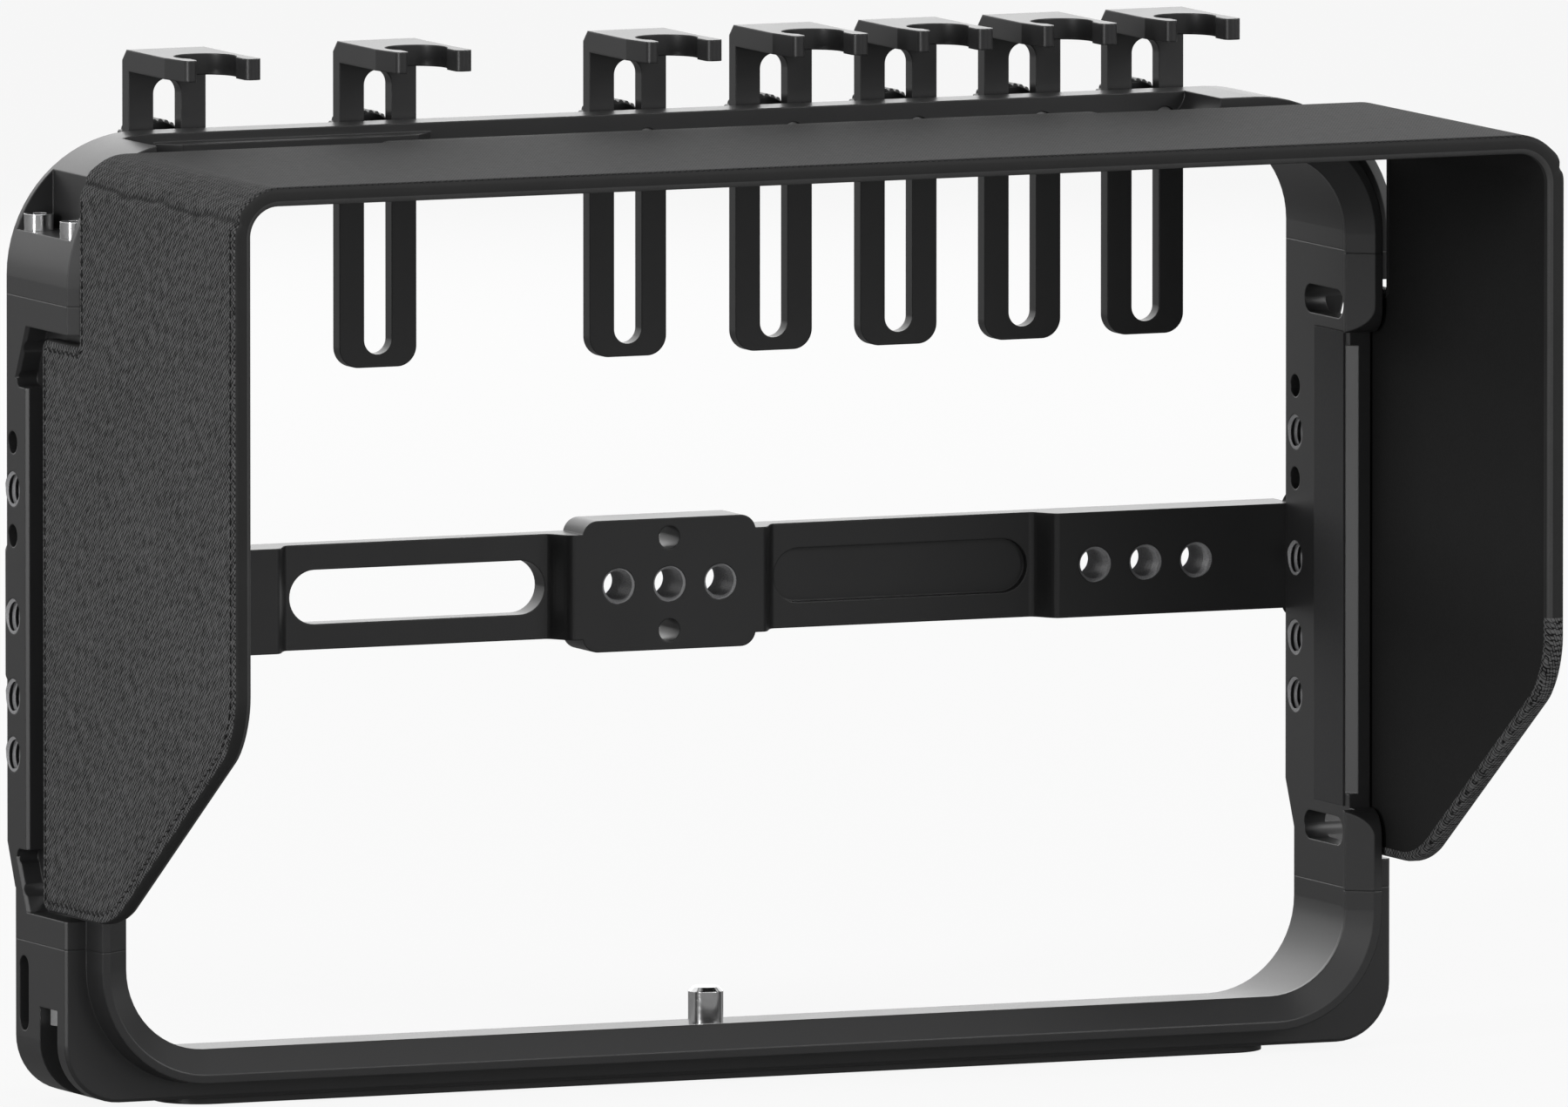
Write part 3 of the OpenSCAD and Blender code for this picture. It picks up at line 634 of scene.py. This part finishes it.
class Materials:
    """Builds each finish once and hands it out."""

    def __init__(self) -> None:
        """Starts with nothing built."""
        self._made: dict[str, bpy.types.Material] = {}

    def of(self, finish: Finish) -> bpy.types.Material:
        """The material of a finish, built at its first use."""
        if finish.name not in self._made:
            self._made[finish.name] = finish.build()
        return self._made[finish.name]

    def dress(self, piece: bpy.types.Object, *finishes: Finish) -> None:
        """Gives a piece these finishes in its material slots."""
        piece.data.materials.clear()
        for finish in finishes:
            piece.data.materials.append(self.of(finish))


@dataclass
class Workshop:
    """What every sub-assembly needs while it is built."""

    frame: dict
    materials: Materials

    def dress_node(self, node: str, finish: Finish) -> None:
        """Gives a node of the frame its finish.

        Args:
            node: The node's name.
            finish: The finish that covers it.
        """
        self.materials.dress(self.frame["nodes"][node], finish)
        LOG.info("dressed %s in %s", node, finish.name)


@dataclass
class CageFrame:
    """The four frame sections, the crossbar and what is fixed to them."""

    shop: Workshop
    finishes: tuple[tuple[Finish, tuple[str, ...]], ...] = (
        (FRAME_METAL, ("top_frame", "bottom_frame", "left_side_bar", "right_side_bar", "crossbar")),
        (PAD_RUBBER, ("left_pad", "right_pad")),
        (BRIGHT_STEEL, ("upper_frame_screws", "lower_frame_screws", "lock_screw")),
        (BLACK_STEEL, ("crossbar_screws",)),
        (MAGNET_STEEL, ("frame_magnets",)),
        (WASHER_NYLON, ("lock_washer",)),
    )

    def build(self) -> None:
        """Dresses the sections and the fixed small pieces."""
        for finish, nodes in self.finishes:
            for node in nodes:
                self.shop.dress_node(node, finish)


class Axis(Enum):
    """The way a threaded hole runs, as the turn that takes Z to it."""

    ALONG_X = (0.0, math.pi / 2, 0.0)
    ALONG_Y = (-math.pi / 2, 0.0, 0.0)
    ALONG_Z = (0.0, 0.0, 0.0)


@dataclass(frozen=True)
class HoleRow:
    """Threaded holes of one frame section that run the same way."""

    name: str
    starts: tuple[Point, ...]
    axis: Axis
    length: float


@dataclass
class CameraThreads:
    """The quarter-inch threads cut into the frame's holes."""

    shop: Workshop
    front_shift: float = 11.85 * MM
    middle: float = 86.9 * MM
    pitch: float = 1.27 * MM
    wall: float = 3.25 * MM
    crest: float = 2.62 * MM
    flank: float = 0.52 * MM
    steps: int = 28
    bar_back: float = 34.1 * MM
    bar_depth: float = 9.0 * MM
    bar_holes: tuple[float, ...] = (-10.0 * MM, 0.0, 10.0 * MM, 83.9 * MM, 93.9 * MM, 103.9 * MM)
    floor_back: float = 17.9 * MM
    floor_depth: float = 8.4 * MM
    floor_holes: tuple[float, ...] = (-30.0 * MM, -20.0 * MM, -10.0 * MM)
    spine: float = 30.0 * MM
    room: float = 121.75 * MM
    side: float = 8.25 * MM
    side_holes: tuple[float, ...] = (22.8888 * MM, 0.0, -14.3922 * MM, -24.7962 * MM)

    def rows(self) -> tuple[HoleRow, ...]:
        """All rows of holes, from the places of the frame's bores."""
        bar, floor, spine = (deep + self.front_shift for deep in (self.bar_back, self.floor_back, self.spine))
        on_bar = tuple((x, bar, self.middle) for x in self.bar_holes)
        in_floor = tuple((x, floor, 0.0) for x in self.floor_holes)
        rows = [
            HoleRow("crossbar_threads", on_bar, Axis.ALONG_Y, self.bar_depth),
            HoleRow("floor_threads", in_floor, Axis.ALONG_Z, self.floor_depth),
        ]
        for name, start in (("left", -self.room - self.side), ("right", self.room)):
            starts = tuple((start, spine, self.middle + z) for z in self.side_holes)
            rows.append(HoleRow(f"{name}_side_threads", starts, Axis.ALONG_X, self.side))
        return tuple(rows)

    def _ridge(self, length: float) -> bpy.types.Object:
        """Winds one ridge up Z, from 0 to the given length."""
        start = (self.wall, 0.0, -self.pitch)
        bpy.ops.object.select_all(action="DESELECT")
        bpy.ops.mesh.primitive_circle_add(
            vertices=3, radius=self.flank, location=start, rotation=(math.pi / 2, 0.0, 0.0)
        )
        ridge = bpy.context.object
        place_in_mesh(ridge)
        with Bench(ridge) as bench:
            bench.points(lambda at: True)
            bpy.ops.transform.rotate(value=math.pi / 2, orient_axis="Y", center_override=start)
        reach = min(vertex.co.x for vertex in ridge.data.vertices)
        for vertex in ridge.data.vertices:
            vertex.co.x = self.crest if vertex.co.x < reach + self.flank / 2 else self.wall
        screw = ridge.modifiers.new("winding", "SCREW")
        screw.axis = "Z"
        screw.screw_offset = self.pitch
        screw.iterations = math.ceil(length / self.pitch) + 2
        screw.steps = screw.render_steps = self.steps
        apply_modifiers(ridge)
        with Bench(ridge) as bench:
            bench.cut((0.0, 0.0, length), (0.0, 0.0, 1.0), clear=True, fill=True)
            bench.cut((0.0, 0.0, 0.0), (0.0, 0.0, -1.0), clear=True, fill=True)
            bpy.ops.mesh.select_all(action="SELECT")
            bpy.ops.mesh.normals_make_consistent(inside=False)
        return ridge

    def build(self) -> None:
        """Winds a ridge into every hole."""
        for row in self.rows():
            ridge = self._ridge(row.length)
            turned = []
            for number, start in enumerate(row.starts):
                made = copy_of(ridge, f"{row.name}_{number}")
                made.rotation_euler = row.axis.value
                made.location = start
                turned.append(made)
            bpy.data.objects.remove(ridge)
            piece = joined(turned, row.name)
            smooth(piece)
            self.shop.materials.dress(piece, THREAD_METAL_PAINTED_HIGHLIGHT)
            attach(piece, "frame")
            LOG.info("wound %s: %d holes", row.name, len(row.starts))


@dataclass(frozen=True)
class HoodForm:
    """The hood's wall laid flat: x runs along the wall, y from front to back, z out of the wall."""

    half_width: float = 129.6 * MM
    top: float = 172.3 * MM
    foot: float = 35.2 * MM
    corner: float = 8.8 * MM
    wall: float = 3.4 * MM
    front: float = -69.7 * MM
    rear: float = 0.9 * MM
    tab_rear: float = 17.9 * MM
    tab_top: float = 138.0 * MM
    top_tab_rear: float = 4.0 * MM
    top_tab_half: float = 70.0 * MM
    low_bend: float = 20.0 * MM
    low_bend_front: float = 7.0 * MM
    front_bend: float = 15.0 * MM
    front_bend_top: float = 81.7 * MM
    shift: float = 11.85 * MM
    crease: Crease = Crease()

    @property
    def half_top(self) -> float:
        """Half the length of the straight stretch over the top."""
        return self.half_width - self.corner

    @property
    def arc(self) -> float:
        """Length of the outer arc round an upper corner."""
        return self.corner * math.pi / 2

    def along(self, height: float) -> float:
        """Distance along the wall from the middle of the top to a height on the side."""
        return self.half_top + self.arc + self.top - self.corner - height

    @property
    def depth(self) -> float:
        """Depth of the flat wall with its tabs."""
        return self.tab_rear - self.front

    @property
    def end(self) -> float:
        """Distance along the wall to its foot."""
        return self.along(self.foot)

    @property
    def slope(self) -> float:
        """Angle of the slanted lower edge to the depth, tangent to both bends."""
        run = self.front + self.front_bend + self.low_bend_front
        rise = self.front_bend_top - (self.foot + self.low_bend)
        span = math.hypot(run, rise)
        return math.atan2(rise, -run) + math.asin((self.low_bend - self.front_bend) / span)

    @property
    def low_run(self) -> float:
        """Length that the lower bend takes from each edge."""
        return self.low_bend * math.tan(self.slope / 2)

    @property
    def front_run(self) -> float:
        """Length that the front bend takes from each edge."""
        return self.front_bend * math.tan((math.pi / 2 - self.slope) / 2)

    @property
    def low_corner(self) -> tuple[float, float]:
        """Flat place where the foot and the slanted edge would meet."""
        return self.end, -(self.low_bend_front + self.low_run)

    @property
    def front_corner(self) -> tuple[float, float]:
        """Flat place where the slanted edge and the front edge would meet."""
        return self.along(self.front_bend_top - self.front_run), self.front

    def bent(self, flat: Vector) -> Vector:
        """Place on the bent hood of a point of the flat wall."""
        side = math.copysign(1.0, flat.x)
        run = abs(flat.x) - self.half_top
        radius = self.corner + flat.z
        if run <= 0.0:
            across, up = flat.x, self.top + flat.z
        elif run < self.arc:
            angle = run / self.corner
            across = side * (self.half_top + radius * math.sin(angle))
            up = self.top - self.corner + radius * math.cos(angle)
        else:
            across = side * (self.half_width + flat.z)
            up = self.top - self.corner - (run - self.arc)
        return Vector((across, flat.y + self.shift, up))


@dataclass
class SunHood:
    """The pull-off hood: board, woven cover, lining, stitches and magnets."""

    shop: Workshop
    form: HoodForm = HoodForm()
    near: float = 0.02 * MM
    round_edge: float = 1.0 * MM
    round_cuts: int = 4
    hem: float = 0.7 * MM
    hem_edge: float = 0.05 * MM
    # Painted rim shade: where it starts in the rounded edge, and the height on the right side above which it
    # is painted.
    rim_shade_share: float = 0.45
    rim_shade_end: float = 88.0 * MM
    cloth: float = 0.45 * MM
    lining_cloth: float = 0.3 * MM
    lining_in: float = 1.3 * MM
    lining_down: float = 3.2 * MM
    corner_cuts: int = 14
    crease_grid: float = 0.45 * MM
    crease_cuts: range = range(-9, 8)
    side_grid: float = 10.0 * MM
    side_cuts: range = range(1, 13)
    top_cuts: int = 12
    cover_rows: int = 44
    lining_rows: int = 9
    seam_in: float = 1.75 * MM
    seam_from: float = 1.6 * MM
    stitch: float = 1.45 * MM
    stitch_pitch: float = 2.05 * MM
    stitch_thick: float = 0.42 * MM
    stitch_turn: float = 0.5

    def build(self) -> None:
        """Dresses the solid pieces and sews the cover and the lining."""
        self.shop.dress_node("hood_board", HOOD_BOARD)
        self.shop.dress_node("hood_magnets", MAGNET_STEEL)
        pattern = self._pattern()
        self._cover(copy_of(pattern, "hood_cloth_cover"))
        self._lining(copy_of(pattern, "hood_black_lining"))
        self._stitches(pattern)
        bpy.data.objects.remove(pattern)

    def _pattern(self) -> bpy.types.Object:
        """Cuts the flat outline of the hood with its tabs, slants and rounded corners."""
        form = self.form
        bpy.ops.object.select_all(action="DESELECT")
        bpy.ops.mesh.primitive_plane_add(size=1.0, location=(0.0, (form.front + form.tab_rear) / 2, 0.0))
        pattern = bpy.context.object
        pattern.name = "hood_pattern"
        pattern.scale = (2 * form.end, form.depth, 1.0)
        place_in_mesh(pattern)
        tab = form.along(form.tab_top)
        low, front = form.low_corner, form.front_corner
        with Bench(pattern) as bench:
            for side in (-1.0, 1.0):
                slant = (side * (low[1] - front[1]), front[0] - low[0], 0.0)
                bench.cut((side * tab, 0.0, 0.0), ALONG)
                bench.cut((side * form.top_tab_half, 0.0, 0.0), ALONG)
                bench.cut((side * low[0], low[1], 0.0), slant, clear=True)
            bench.cut((0.0, form.rear, 0.0), DEEP)
            bench.cut((0.0, form.top_tab_rear, 0.0), DEEP)
            bench.faces(lambda at, _: self._in_notch(at, tab))
            bpy.ops.mesh.delete(type="FACE")
            bpy.ops.mesh.select_all(action="SELECT")
            bpy.ops.mesh.dissolve_faces(use_verts=False)
            rounds = (
                (low, form.low_run, 10),
                (front, form.front_run, 10),
                ((form.end, form.tab_rear), 2.0 * MM, 5),
                ((tab, form.tab_rear), 2.0 * MM, 5),
                ((tab, form.rear), 0.8 * MM, 3),
                ((form.top_tab_half, form.top_tab_rear), 1.5 * MM, 4),
            )
            for (along, deep), run, segments in rounds:
                bench.points(lambda at: math.hypot(abs(at.x) - along, at.y - deep) < self.near)
                bpy.ops.mesh.bevel(affect="VERTICES", offset=run, segments=segments)
        return pattern

    def _in_notch(self, at: Vector, tab: float) -> bool:
        """True where the flat wall is cut away behind the hood's rear edge."""
        form = self.form
        on_top_tab = abs(at.x) < form.top_tab_half and at.y < form.top_tab_rear
        return at.y > form.rear and abs(at.x) < tab and not on_top_tab

    def _grid_cuts(self, bench: Bench, rows: int, creased: bool) -> None:
        """Cuts a flat piece into strips that can follow the bends.

        Args:
            bench: The open piece.
            rows: How many strips lie between the front and the rear.
            creased: True to add the close cuts round the crease.
        """
        form = self.form
        cuts = [form.half_top + form.arc * i / self.corner_cuts for i in range(self.corner_cuts + 1)]
        if creased:
            cuts += [form.crease.at + self.crease_grid * i for i in self.crease_cuts]
        cuts += [form.along(form.foot + self.side_grid * i) for i in self.side_cuts]
        cuts += [form.half_top * i / self.top_cuts for i in range(self.top_cuts)]
        for at in cuts:
            for side in (-1.0, 1.0):
                bench.cut((side * at, 0.0, 0.0), ALONG)
        for row in range(1, rows):
            bench.cut((0.0, form.front + (form.rear - form.front) * row / rows, 0.0), DEEP)

    def _unwrap(self, piece: bpy.types.Object) -> None:
        """Writes the flat pattern into the piece's UV map, with the rims folded out."""
        layer = piece.data.uv_layers.new(name="flat")
        for loop in piece.data.loops:
            at = piece.data.vertices[loop.vertex_index].co
            side = math.copysign(1.0, at.x)
            layer.data[loop.index].uv = (at.x - side * at.z, at.y + at.z)

    def _lay(self, piece: bpy.types.Object, thickness: float, creased: bool) -> float:
        """Bends a flat piece over the board and gives it its thickness.

        Args:
            piece: The flat piece.
            thickness: The thickness of its cloth.
            creased: True to press the crease into its outer side.

        Returns:
            The area of the bent piece.
        """
        for vertex in piece.data.vertices:
            flat = vertex.co.copy()
            if creased and flat.z > -self.round_edge:
                flat.z += self.form.crease.relief(flat)
            vertex.co = self.form.bent(flat)
        area = sum(face.area for face in piece.data.polygons)
        thick = piece.modifiers.new("cloth", "SOLIDIFY")
        thick.thickness = thickness
        thick.offset = -1.0
        apply_modifiers(piece)
        smooth(piece, 40.0)
        return area

    def _cover(self, cover: bpy.types.Object) -> None:
        """Turns the pattern into the cloth that wraps the board and its edges."""
        form = self.form
        with Bench(cover) as bench:
            bpy.ops.mesh.select_all(action="SELECT")
            bpy.ops.mesh.extrude_region_move(TRANSFORM_OT_translate={"value": (0.0, 0.0, -form.wall)})
            bpy.ops.mesh.select_all(action="SELECT")
            bpy.ops.mesh.normals_make_consistent(inside=False)
            for level in (0.0, -form.wall):
                bench.lines(lambda at: abs(at.z - level) < self.near)
                bpy.ops.mesh.bevel(offset=self.round_edge, segments=self.round_cuts, affect="EDGES")
            bench.faces(lambda at, facing: facing.z < -0.99)
            bpy.ops.mesh.inset(thickness=self.hem)
            bpy.ops.mesh.delete(type="FACE")
            self._grid_cuts(bench, self.cover_rows, creased=True)
        self._unwrap(cover)
        self._sort_faces(cover)
        area = self._lay(cover, self.cloth, creased=True)
        width, length = 2 * (form.end + form.wall), form.depth + 2 * form.wall
        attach(cover, "hood")
        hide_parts("hood_cover")
        LOG.info("sewn %s: %.4f square metres", cover.name, area)

    def _sort_faces(self, cover: bpy.types.Object) -> None:
        """Gives the flat cover its cloth, a darker rim colour that is painted shade (left off the lit lower
        right rim) and its lighter inner edge.
        """
        wall = self.form.wall
        cloth, rim_shade, hem = range(3)
        self.shop.materials.dress(cover, HOOD_CLOTH, HOOD_RIM_SHADE, HOOD_HEM)
        last = self.form.along(self.rim_shade_end)
        for face in cover.data.polygons:
            at = face.center
            face.material_index = cloth
            # Painted shade: rim faces get the darker colour, except the lower right rim, which is lit.
            if at.z < -self.rim_shade_share * self.round_edge and at.x < last:
                in_hem = -wall + self.hem_edge < at.z < -wall + self.round_edge
                face.material_index = hem if in_hem else rim_shade

    def _lining(self, lining: bpy.types.Object) -> None:
        """Turns the pattern into the black lining under the hems."""
        form = self.form
        with Bench(lining) as bench:
            bpy.ops.mesh.select_all(action="SELECT")
            bpy.ops.mesh.inset(thickness=self.lining_in)
            bpy.ops.mesh.select_all(action="INVERT")
            bpy.ops.mesh.delete(type="FACE")
            bpy.ops.mesh.select_all(action="SELECT")
            bpy.ops.transform.translate(value=(0.0, 0.0, -self.lining_down))
            bpy.ops.mesh.flip_normals()
            self._grid_cuts(bench, self.lining_rows, creased=False)
        self._unwrap(lining)
        self.shop.materials.dress(lining, HOOD_LINING)
        area = self._lay(lining, self.lining_cloth, creased=False)
        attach(lining, "hood")
        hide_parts("hood_lining")
        flat = (2 * form.end, form.depth)
        LOG.info("sewn %s: %.4f square metres", lining.name, area)

    def _seam_route(self, pattern: bpy.types.Object) -> list[Vector]:
        """Corners of the line that the stitches follow, on the flat wall."""
        route = copy_of(pattern, "seam_route")
        with Bench(route):
            bpy.ops.mesh.select_all(action="SELECT")
            bpy.ops.mesh.inset(thickness=self.seam_in)
            bpy.ops.mesh.select_all(action="INVERT")
            bpy.ops.mesh.delete(type="FACE")
        corners = [route.data.vertices[index].co.copy() for index in route.data.polygons[0].vertices]
        bpy.data.objects.remove(route)
        return corners

    def _one_stitch(self) -> bpy.types.Object:
        """Makes the stitch that all others are copies of, lying along X."""
        bpy.ops.object.select_all(action="DESELECT")
        bpy.ops.mesh.primitive_cylinder_add(
            vertices=6, radius=self.stitch_thick / 2, depth=self.stitch, rotation=(0.0, math.pi / 2, 0.0)
        )
        stitch = bpy.context.object
        place_in_mesh(stitch)
        with Bench(stitch) as bench:
            bench.lines(lambda at: abs(at.x) > self.stitch / 2 - self.near)
            bpy.ops.mesh.bevel(offset=self.stitch_thick * 0.35, segments=2, affect="EDGES")
        smooth(stitch, 70.0)
        self.shop.materials.dress(stitch, STITCH_THREAD)
        return stitch

    def _stitches(self, pattern: bpy.types.Object) -> None:
        """Sews short black stitches along the edges of both side panels."""
        corners = self._seam_route(pattern)
        stitch = self._one_stitch()
        sewn = {"left": [], "right": []}
        left_over = 0.0
        for start, stop in zip(corners, corners[1:] + corners[:1]):
            run = stop - start
            at = self.stitch_pitch - left_over
            while at <= run.length:
                flat = start + run * (at / run.length)
                if abs(flat.x) > self.form.crease.at + self.seam_from:
                    side = "left" if flat.x < 0.0 else "right"
                    sewn[side].append(self._sewn(stitch, flat, run.normalized()))
                at += self.stitch_pitch
            left_over = run.length - (at - self.stitch_pitch)
        bpy.data.objects.remove(stitch)
        for side, stitches in sewn.items():
            row = joined(stitches, f"hood_{side}_stitches")
            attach(row, "hood")
            LOG.info("sewn %s: %d stitches", row.name, len(stitches))

    def _sewn(self, stitch: bpy.types.Object, flat: Vector, run: Vector) -> bpy.types.Object:
        """Lays one stitch along the seam, a little turned where the seam runs front to back.

        Args:
            stitch: The stitch to copy.
            flat: Its place on the flat wall.
            run: The seam's direction on the flat wall.

        Returns:
            The new stitch.
        """
        made = copy_of(stitch, "stitch")
        turn = Matrix.Rotation(self.stitch_turn * abs(run.y) * math.copysign(1.0, flat.x), 3, "Z")
        here = self.form.bent(flat)
        ahead = (self.form.bent(flat + turn @ run * self.stitch_pitch * 0.1) - here).normalized()
        out = (self.form.bent(flat + Vector((0.0, 0.0, 0.1 * MM))) - here).normalized()
        axes = Matrix((ahead, out.cross(ahead), out)).transposed().to_4x4()
        made.matrix_world = Matrix.Translation(here + out * self.stitch_thick * 0.1) @ axes
        return made


@dataclass
class ClampSet:
    """The seven cable clamps with their knobs and studs."""

    shop: Workshop
    count: int = 7

    def build(self) -> None:
        """Dresses every clamp, knob and stud."""
        for number in range(1, self.count + 1):
            self.shop.dress_node(f"cable_clamp_{number}", CLAMP_METAL)
            self.shop.dress_node(f"clamp_knob_{number}", KNOB_METAL)
            self.shop.dress_node(f"knob_stud_{number}", STUD_STEEL)


@dataclass(frozen=True)
class SoftBox:
    """One rectangular lamp that faces a point."""

    name: str
    place: Point
    size: tuple[float, float]
    power: float


@dataclass
class Studio:
    """Floor, lamps, world and camera."""

    azimuth: float = math.radians(-23.83)
    elevation: float = math.radians(5.91)
    lens: float = 1180.0
    sensor: float = 36.0
    picture_width: float = 281.25 * MM
    aim: Point = (7.49 * MM, 11.85 * MM, 95.27 * MM)
    floor_size: float = 8.0
    floor_shade: float = 0.9
    mirrored_floor: float = 0.16
    seen_glow: float = 0.9
    mirrored_glow: float = 0.85
    world_shade: float = 0.9
    world_strength: float = 0.25
    lamps: tuple[SoftBox, ...] = (
        SoftBox("left_lamp", (-1.42, -0.66, 0.4), (0.12, 0.8), 10.0),
        SoftBox("top_lamp", (-0.1, -0.5, 1.5), (1.2, 1.0), 3.0),
        SoftBox("right_lamp", (1.1, -1.3, 0.9), (0.7, 0.7), 9.0),
        SoftBox("back_lamp", (0.4, 1.4, 0.6), (1.6, 0.9), 6.0),
    )

    def build(self) -> None:
        """Builds the studio."""
        self._floor()
        self._world()
        for lamp in self.lamps:
            self._lamp(lamp)
        self._camera()
        bpy.context.scene.view_settings.view_transform = "Standard"

    def _floor(self) -> None:
        """Adds the pale floor, which looks white but keeps the shadow."""
        bpy.ops.mesh.primitive_plane_add(size=self.floor_size, location=(0.0, 0.0, 0.0))
        floor = bpy.context.object
        floor.name = "floor"
        material, graph = new_material("pale_floor")
        eye, mirror, glass = graph.rays()
        matte = graph.node("ShaderNodeBsdfDiffuse", {"Color": grey(self.floor_shade)})
        white = graph.node("ShaderNodeEmission", {"Color": grey(1.0)})
        dull = graph.node("ShaderNodeEmission", {"Color": grey(self.mirrored_floor)})
        glowing = eye * self.seen_glow + mirror * self.mirrored_glow + glass * self.seen_glow
        graph.surface(graph.blend(glowing, matte, graph.blend(mirror, white, dull)))
        floor.data.materials.append(material)

    def _world(self) -> None:
        """Sets a soft grey light that looks white behind the object."""
        world = bpy.data.worlds.new("studio")
        world.use_nodes = True
        bpy.context.scene.world = world
        graph = Graph(world.node_tree)
        eye, mirror, glass = graph.rays()
        soft = {"Color": grey(self.world_shade), "Strength": self.world_strength}
        dim = graph.node("ShaderNodeBackground", soft)
        white = graph.node("ShaderNodeBackground", {"Color": grey(1.0), "Strength": 1.0})
        both = graph.blend(eye + mirror + glass, dim, white)
        graph.node("ShaderNodeOutputWorld", {"Surface": both.outputs[0]})

    def _lamp(self, lamp: SoftBox) -> None:
        """Adds one lamp that faces the middle of the object."""
        data = bpy.data.lights.new(lamp.name, "AREA")
        data.shape = "RECTANGLE"
        data.size, data.size_y = lamp.size
        data.energy = lamp.power
        made = bpy.data.objects.new(lamp.name, data)
        bpy.context.scene.collection.objects.link(made)
        made.location = lamp.place
        facing = Vector(self.aim) - Vector(lamp.place)
        made.rotation_euler = facing.to_track_quat("-Z", "Y").to_euler()

    def _camera(self) -> None:
        """Adds the camera far away with a long lens, as the photograph was taken."""
        back = Vector(
            (
                math.sin(self.azimuth) * math.cos(self.elevation),
                -math.cos(self.azimuth) * math.cos(self.elevation),
                math.sin(self.elevation),
            )
        )
        distance = self.picture_width * self.lens / self.sensor
        data = bpy.data.cameras.new("camera")
        data.lens = self.lens
        data.sensor_width = self.sensor
        data.clip_end = 4 * distance
        camera = bpy.data.objects.new("camera", data)
        bpy.context.scene.collection.objects.link(camera)
        camera.location = Vector(self.aim) + back * distance
        camera.rotation_euler = (-back).to_track_quat("-Z", "Y").to_euler()
        bpy.context.scene.camera = camera


def main() -> None:
    """Builds the whole scene round the frame."""
    logging.basicConfig(level=logging.INFO, format="%(name)s: %(message)s")
    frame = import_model()
    bpy.ops.object.select_all(action="DESELECT")
    shop = Workshop(frame, Materials())
    for assembly in (CageFrame(shop), CameraThreads(shop), SunHood(shop), ClampSet(shop), Studio()):
        assembly.build()
        LOG.info("finished %s", type(assembly).__name__)


if __name__ == "__main__":
    main()
